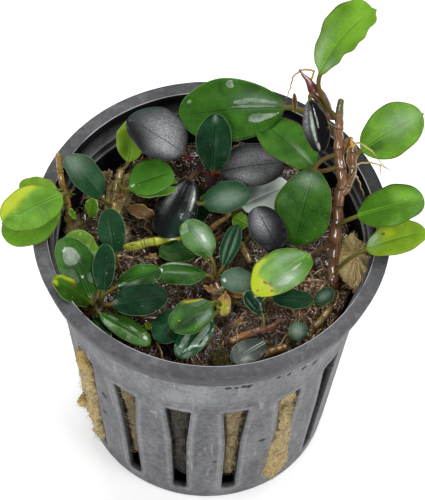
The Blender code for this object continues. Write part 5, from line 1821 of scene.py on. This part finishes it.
# %% Roots at the tall stem's foot
FOOT, FOOT_ROOTS, LOOSE_ROOTS = (18.9, -4.6), 30, 240
foot_rng = np.random.default_rng(47)


def both(strong, loose):
    """Random numbers in one range for the strong roots and in another for the loose ones."""
    return np.append(foot_rng.uniform(*strong, FOOT_ROOTS), foot_rng.uniform(*loose, LOOSE_ROOTS))


def around_foot(middle, loose):
    """Places close to the foot for the strong roots, and in a range for the loose ones."""
    close = middle + foot_rng.normal(size=FOOT_ROOTS) * 0.35
    return np.append(close, foot_rng.uniform(*loose, LOOSE_ROOTS))


x, y = around_foot(FOOT[0], (12.5, 20.5)), around_foot(FOOT[1], (-15.5, -3.0))
heading = np.radians(both((-175, 20), (-180, 180)))
length = both((4.0, 10.0), (1.5, 5.0))
thickness = both((0.2, 0.4), (0.08, 0.26))
foot_paths = crawl(x, y, heading, length, 14, 0.3, foot_rng)
shade = foot_rng.uniform(0.34, 0.88, FOOT_ROOTS + LOOSE_ROOTS)
put_threads("foot_roots", foot_paths, thickness, 6, root_skin, "bark", shade)

# %% [markdown]
# ## Loose wool
#
# Wool frays where it is squeezed: threads lie along it in the slots and stand on every lump.
# The clump at the right is a bundle of old straw-coloured roots, so strands run down it too.

# %% Loose wool in the slots and fuzz on the lumps
SLOT_THREADS, THREADS_BELOW, BACK_SHARE = 2300, 34, 0.4
FUZZ = {
    # lump: how many threads, how long, how much they lie over, lowest and highest shade
    "left_tuft": (800, 1.1, 1.0, 0.55, 1.0), "right_tuft": (900, 1.0, 1.0, 0.6, 1.0),
    "left_bump": (130, 0.8, 1.0, 0.5, 1.0), "right_clump": (700, 1.1, 1.0, 0.85, 1.0),
    "back_left_clump": (380, 1.2, 0.9, 0.45, 1.0), "centre_clump": (260, 1.4, 0.9, 0.4, 1.0),
    "small_clump": (250, 1.2, 0.9, 0.3, 0.8), "left_clump": (350, 1.2, 0.9, 0.1, 0.8),
}


def slot_threads(count):
    """Threads that start where the plug fills a slot and lie along its surface, a little proud."""
    weight = plug_filled * (plug[..., 2] < THREADS_BELOW) * (BACK_SHARE + (plug[..., 1] < 0))
    chosen = rng.choice(weight.size, count, p=(weight / weight.sum()).ravel())
    start = plug.reshape(-1, 3)[chosen]
    outward = unit(start * (1, 1, 0))
    heading = unit(rng.normal(size=(count, 3)) + 0.25 * outward)
    heading -= 0.75 * np.einsum("ij,ij->i", heading, outward)[:, None] * outward
    paths = bristle(start - 0.05 * outward, unit(heading), rng.uniform(0.6, 2.2, count), 0.7, rng)
    shade = plug_pale.ravel()[chosen] * 0.8 + rng.uniform(-0.15, 0.25, count)
    return paths, np.clip(shade, 0, 1)


def fuzz_on(rings, count, reach, lie):
    """Threads that stand on a lump: heading out from its middle, laid over by random vectors."""
    spots = rings.reshape(-1, 3)
    chosen = rng.integers(0, len(spots), count)
    middle = 0.6 * rings.mean(1, keepdims=True) + 0.4 * spots.mean(0)
    outward = unit(rings - middle).reshape(-1, 3)[chosen]
    heading = unit(outward + lie * rng.normal(size=(count, 3)))
    lengths = rng.uniform(0.4, 1.0, count) * reach
    return bristle(spots[chosen] - 0.08 * outward, heading, lengths, 0.6, rng)


paths, shade = slot_threads(SLOT_THREADS)
thickness = rng.uniform(0.03, 0.06, SLOT_THREADS)
put_threads("slot_threads", paths, thickness, 3, thread_skin, "rock_wool", shade)
fuzz, shades = [], []
for name, (count, reach, lie, low, high) in FUZZ.items():
    fuzz.append(fuzz_on(LUMPS[name][0], count, reach, lie))
    shades.append(rng.uniform(low, high, count))
fuzz, shades = np.vstack(fuzz), np.concatenate(shades)
thickness = rng.uniform(0.03, 0.055, len(fuzz))
put_threads("clump_fuzz", fuzz, thickness, 3, thread_skin, "rock_wool", shades)

# %% Strands on the right clump
STRANDS, STRAND_ROWS = 300, slice(2, 27, 2)
clump = LUMPS["right_clump"][0]
strands = clump[STRAND_ROWS, rng.integers(0, clump.shape[1], STRANDS)].transpose(1, 0, 2)
strands = strands + rng.normal(size=(STRANDS, 1, 3)) * 0.07 + 0.1 * ripples(strands, 1.2, 83)
thickness = rng.uniform(0.04, 0.085, STRANDS)
shade = rng.uniform(0.3, 1.0, STRANDS)
put_threads("clump_strands", strands, thickness, 5, straw_skin, "rock_wool", shade)

# %% [markdown]
# ## Aerial roots
#
# New roots leave the stem at its nodes and hang in the air, thin and straw-coloured. There are
# few of them and they are seen against white, so each gets a stated path and round tubes.

# %% Aerial roots
AERIAL_STEPS = 24
AERIAL_ROOTS = [
    # radius, shade, and the points that the root passes through
    (0.17, 0.5, [
        (13.8, 15.0, 66.8), (14.5, 16.8, 67.5), (13.2, 17.5, 67.0), (11.8, 17.9, 65.5),
        (11.3, 17.9, 63.5), (11.1, 18.0, 61.0), (10.6, 18.1, 58.6),
    ]),
    (0.15, 0.7, [
        (20.8, 9.4, 58.6), (21.7, 9.8, 59.6), (22.5, 8.65, 60.3),
        (23.6, 7.95, 60.0), (24.95, 7.45, 58.4), (26.6, 6.9, 56.2),
    ]),
    (0.14, 0.6, [
        (21.0, 7.6, 56.4), (22.1, 7.6, 57.0), (23.6, 7.5, 57.6),
        (24.9, 7.2, 57.5), (26.1, 7.3, 56.5), (27.0, 7.4, 55.6),
    ]),
    (0.12, 0.9, [(24.9, 7.2, 57.5), (25.4, 6.9, 56.3), (25.3, 6.8, 55.2)]),
    (0.16, 0.8, [(20.0, 6.9, 54.5), (21.8, 8.1, 52.5), (22.7, 8.1, 50.0), (23.4, 7.6, 48.0)]),
    (0.12, 0.3, [(21.2, 8.0, 56.8), (22.2, 9.9, 57.2), (22.9, 10.9, 56.0), (23.2, 11.2, 54.6)]),
]
radii, shades, routes = zip(*AERIAL_ROOTS)
aerial = np.stack([smooth_route(knots, AERIAL_STEPS) for knots in routes])
aerial = aerial + 0.1 * ripples(aerial, 1.6, 90, 5)
put_threads("aerial_roots", aerial, np.array(radii), 8, straw_skin, "bark", np.array(shades))

# %% [markdown]
# ## Moss
#
# Olive moss has settled on the wool at the front rim and on the lower stems. A tuft of it is a
# few dozen short bristles that leave one spot in all upward directions.

# %% Moss
MOSS = [
    # where, radius of the spot, how many bristles, their length, lowest and highest shade
    ((2.2, -18.6, 41.6), 1.5, 260, 1.3, 0.2, 0.9),
    ((-22.3, 5.6, 49.0), 0.6, 70, 0.9, 0.4, 0.9),
    ((-22.0, 3.2, 45.6), 0.8, 90, 1.0, 0.4, 1.0),
    ((-9.1, -13.4, 41.9), 0.7, 60, 0.9, 0.5, 1.0),
    ((8.5, -17.6, 42.0), 1.2, 110, 0.9, 0.3, 0.9),
    ((3.6, -8.3, 42.6), 1.2, 150, 1.2, 0.5, 1.0),
    ((-11.5, 11.5, 42.2), 1.6, 130, 1.2, 0.1, 0.6),
    ((12.5, -14.8, 41.9), 1.2, 90, 0.9, 0.3, 0.8),
    ((-23.6, 7.4, 52.8), 0.5, 60, 0.6, 0.6, 1.0),
    ((-23.9, 8.6, 54.4), 0.4, 50, 0.5, 0.7, 1.0),
]
bristles, moss_shades = [], []
for spot, spread, count, reach, low, high in MOSS:
    start = np.asarray(spot) + rng.normal(size=(count, 3)) * (spread / 2, spread / 2, 0.15)
    heading = unit(rng.normal(size=(count, 3)) * (1, 1, 0.5) + (0, 0, 0.9))
    bristles.append(bristle(start, heading, rng.uniform(0.4, 1.0, count) * reach, 0.7, rng))
    moss_shades.append(rng.uniform(low, high, count))
bristles, moss_shades = np.vstack(bristles), np.concatenate(moss_shades)
thickness = rng.uniform(0.04, 0.07, len(bristles))
put_threads("moss_bristles", bristles, thickness, 3, moss_skin, "runner", moss_shades)
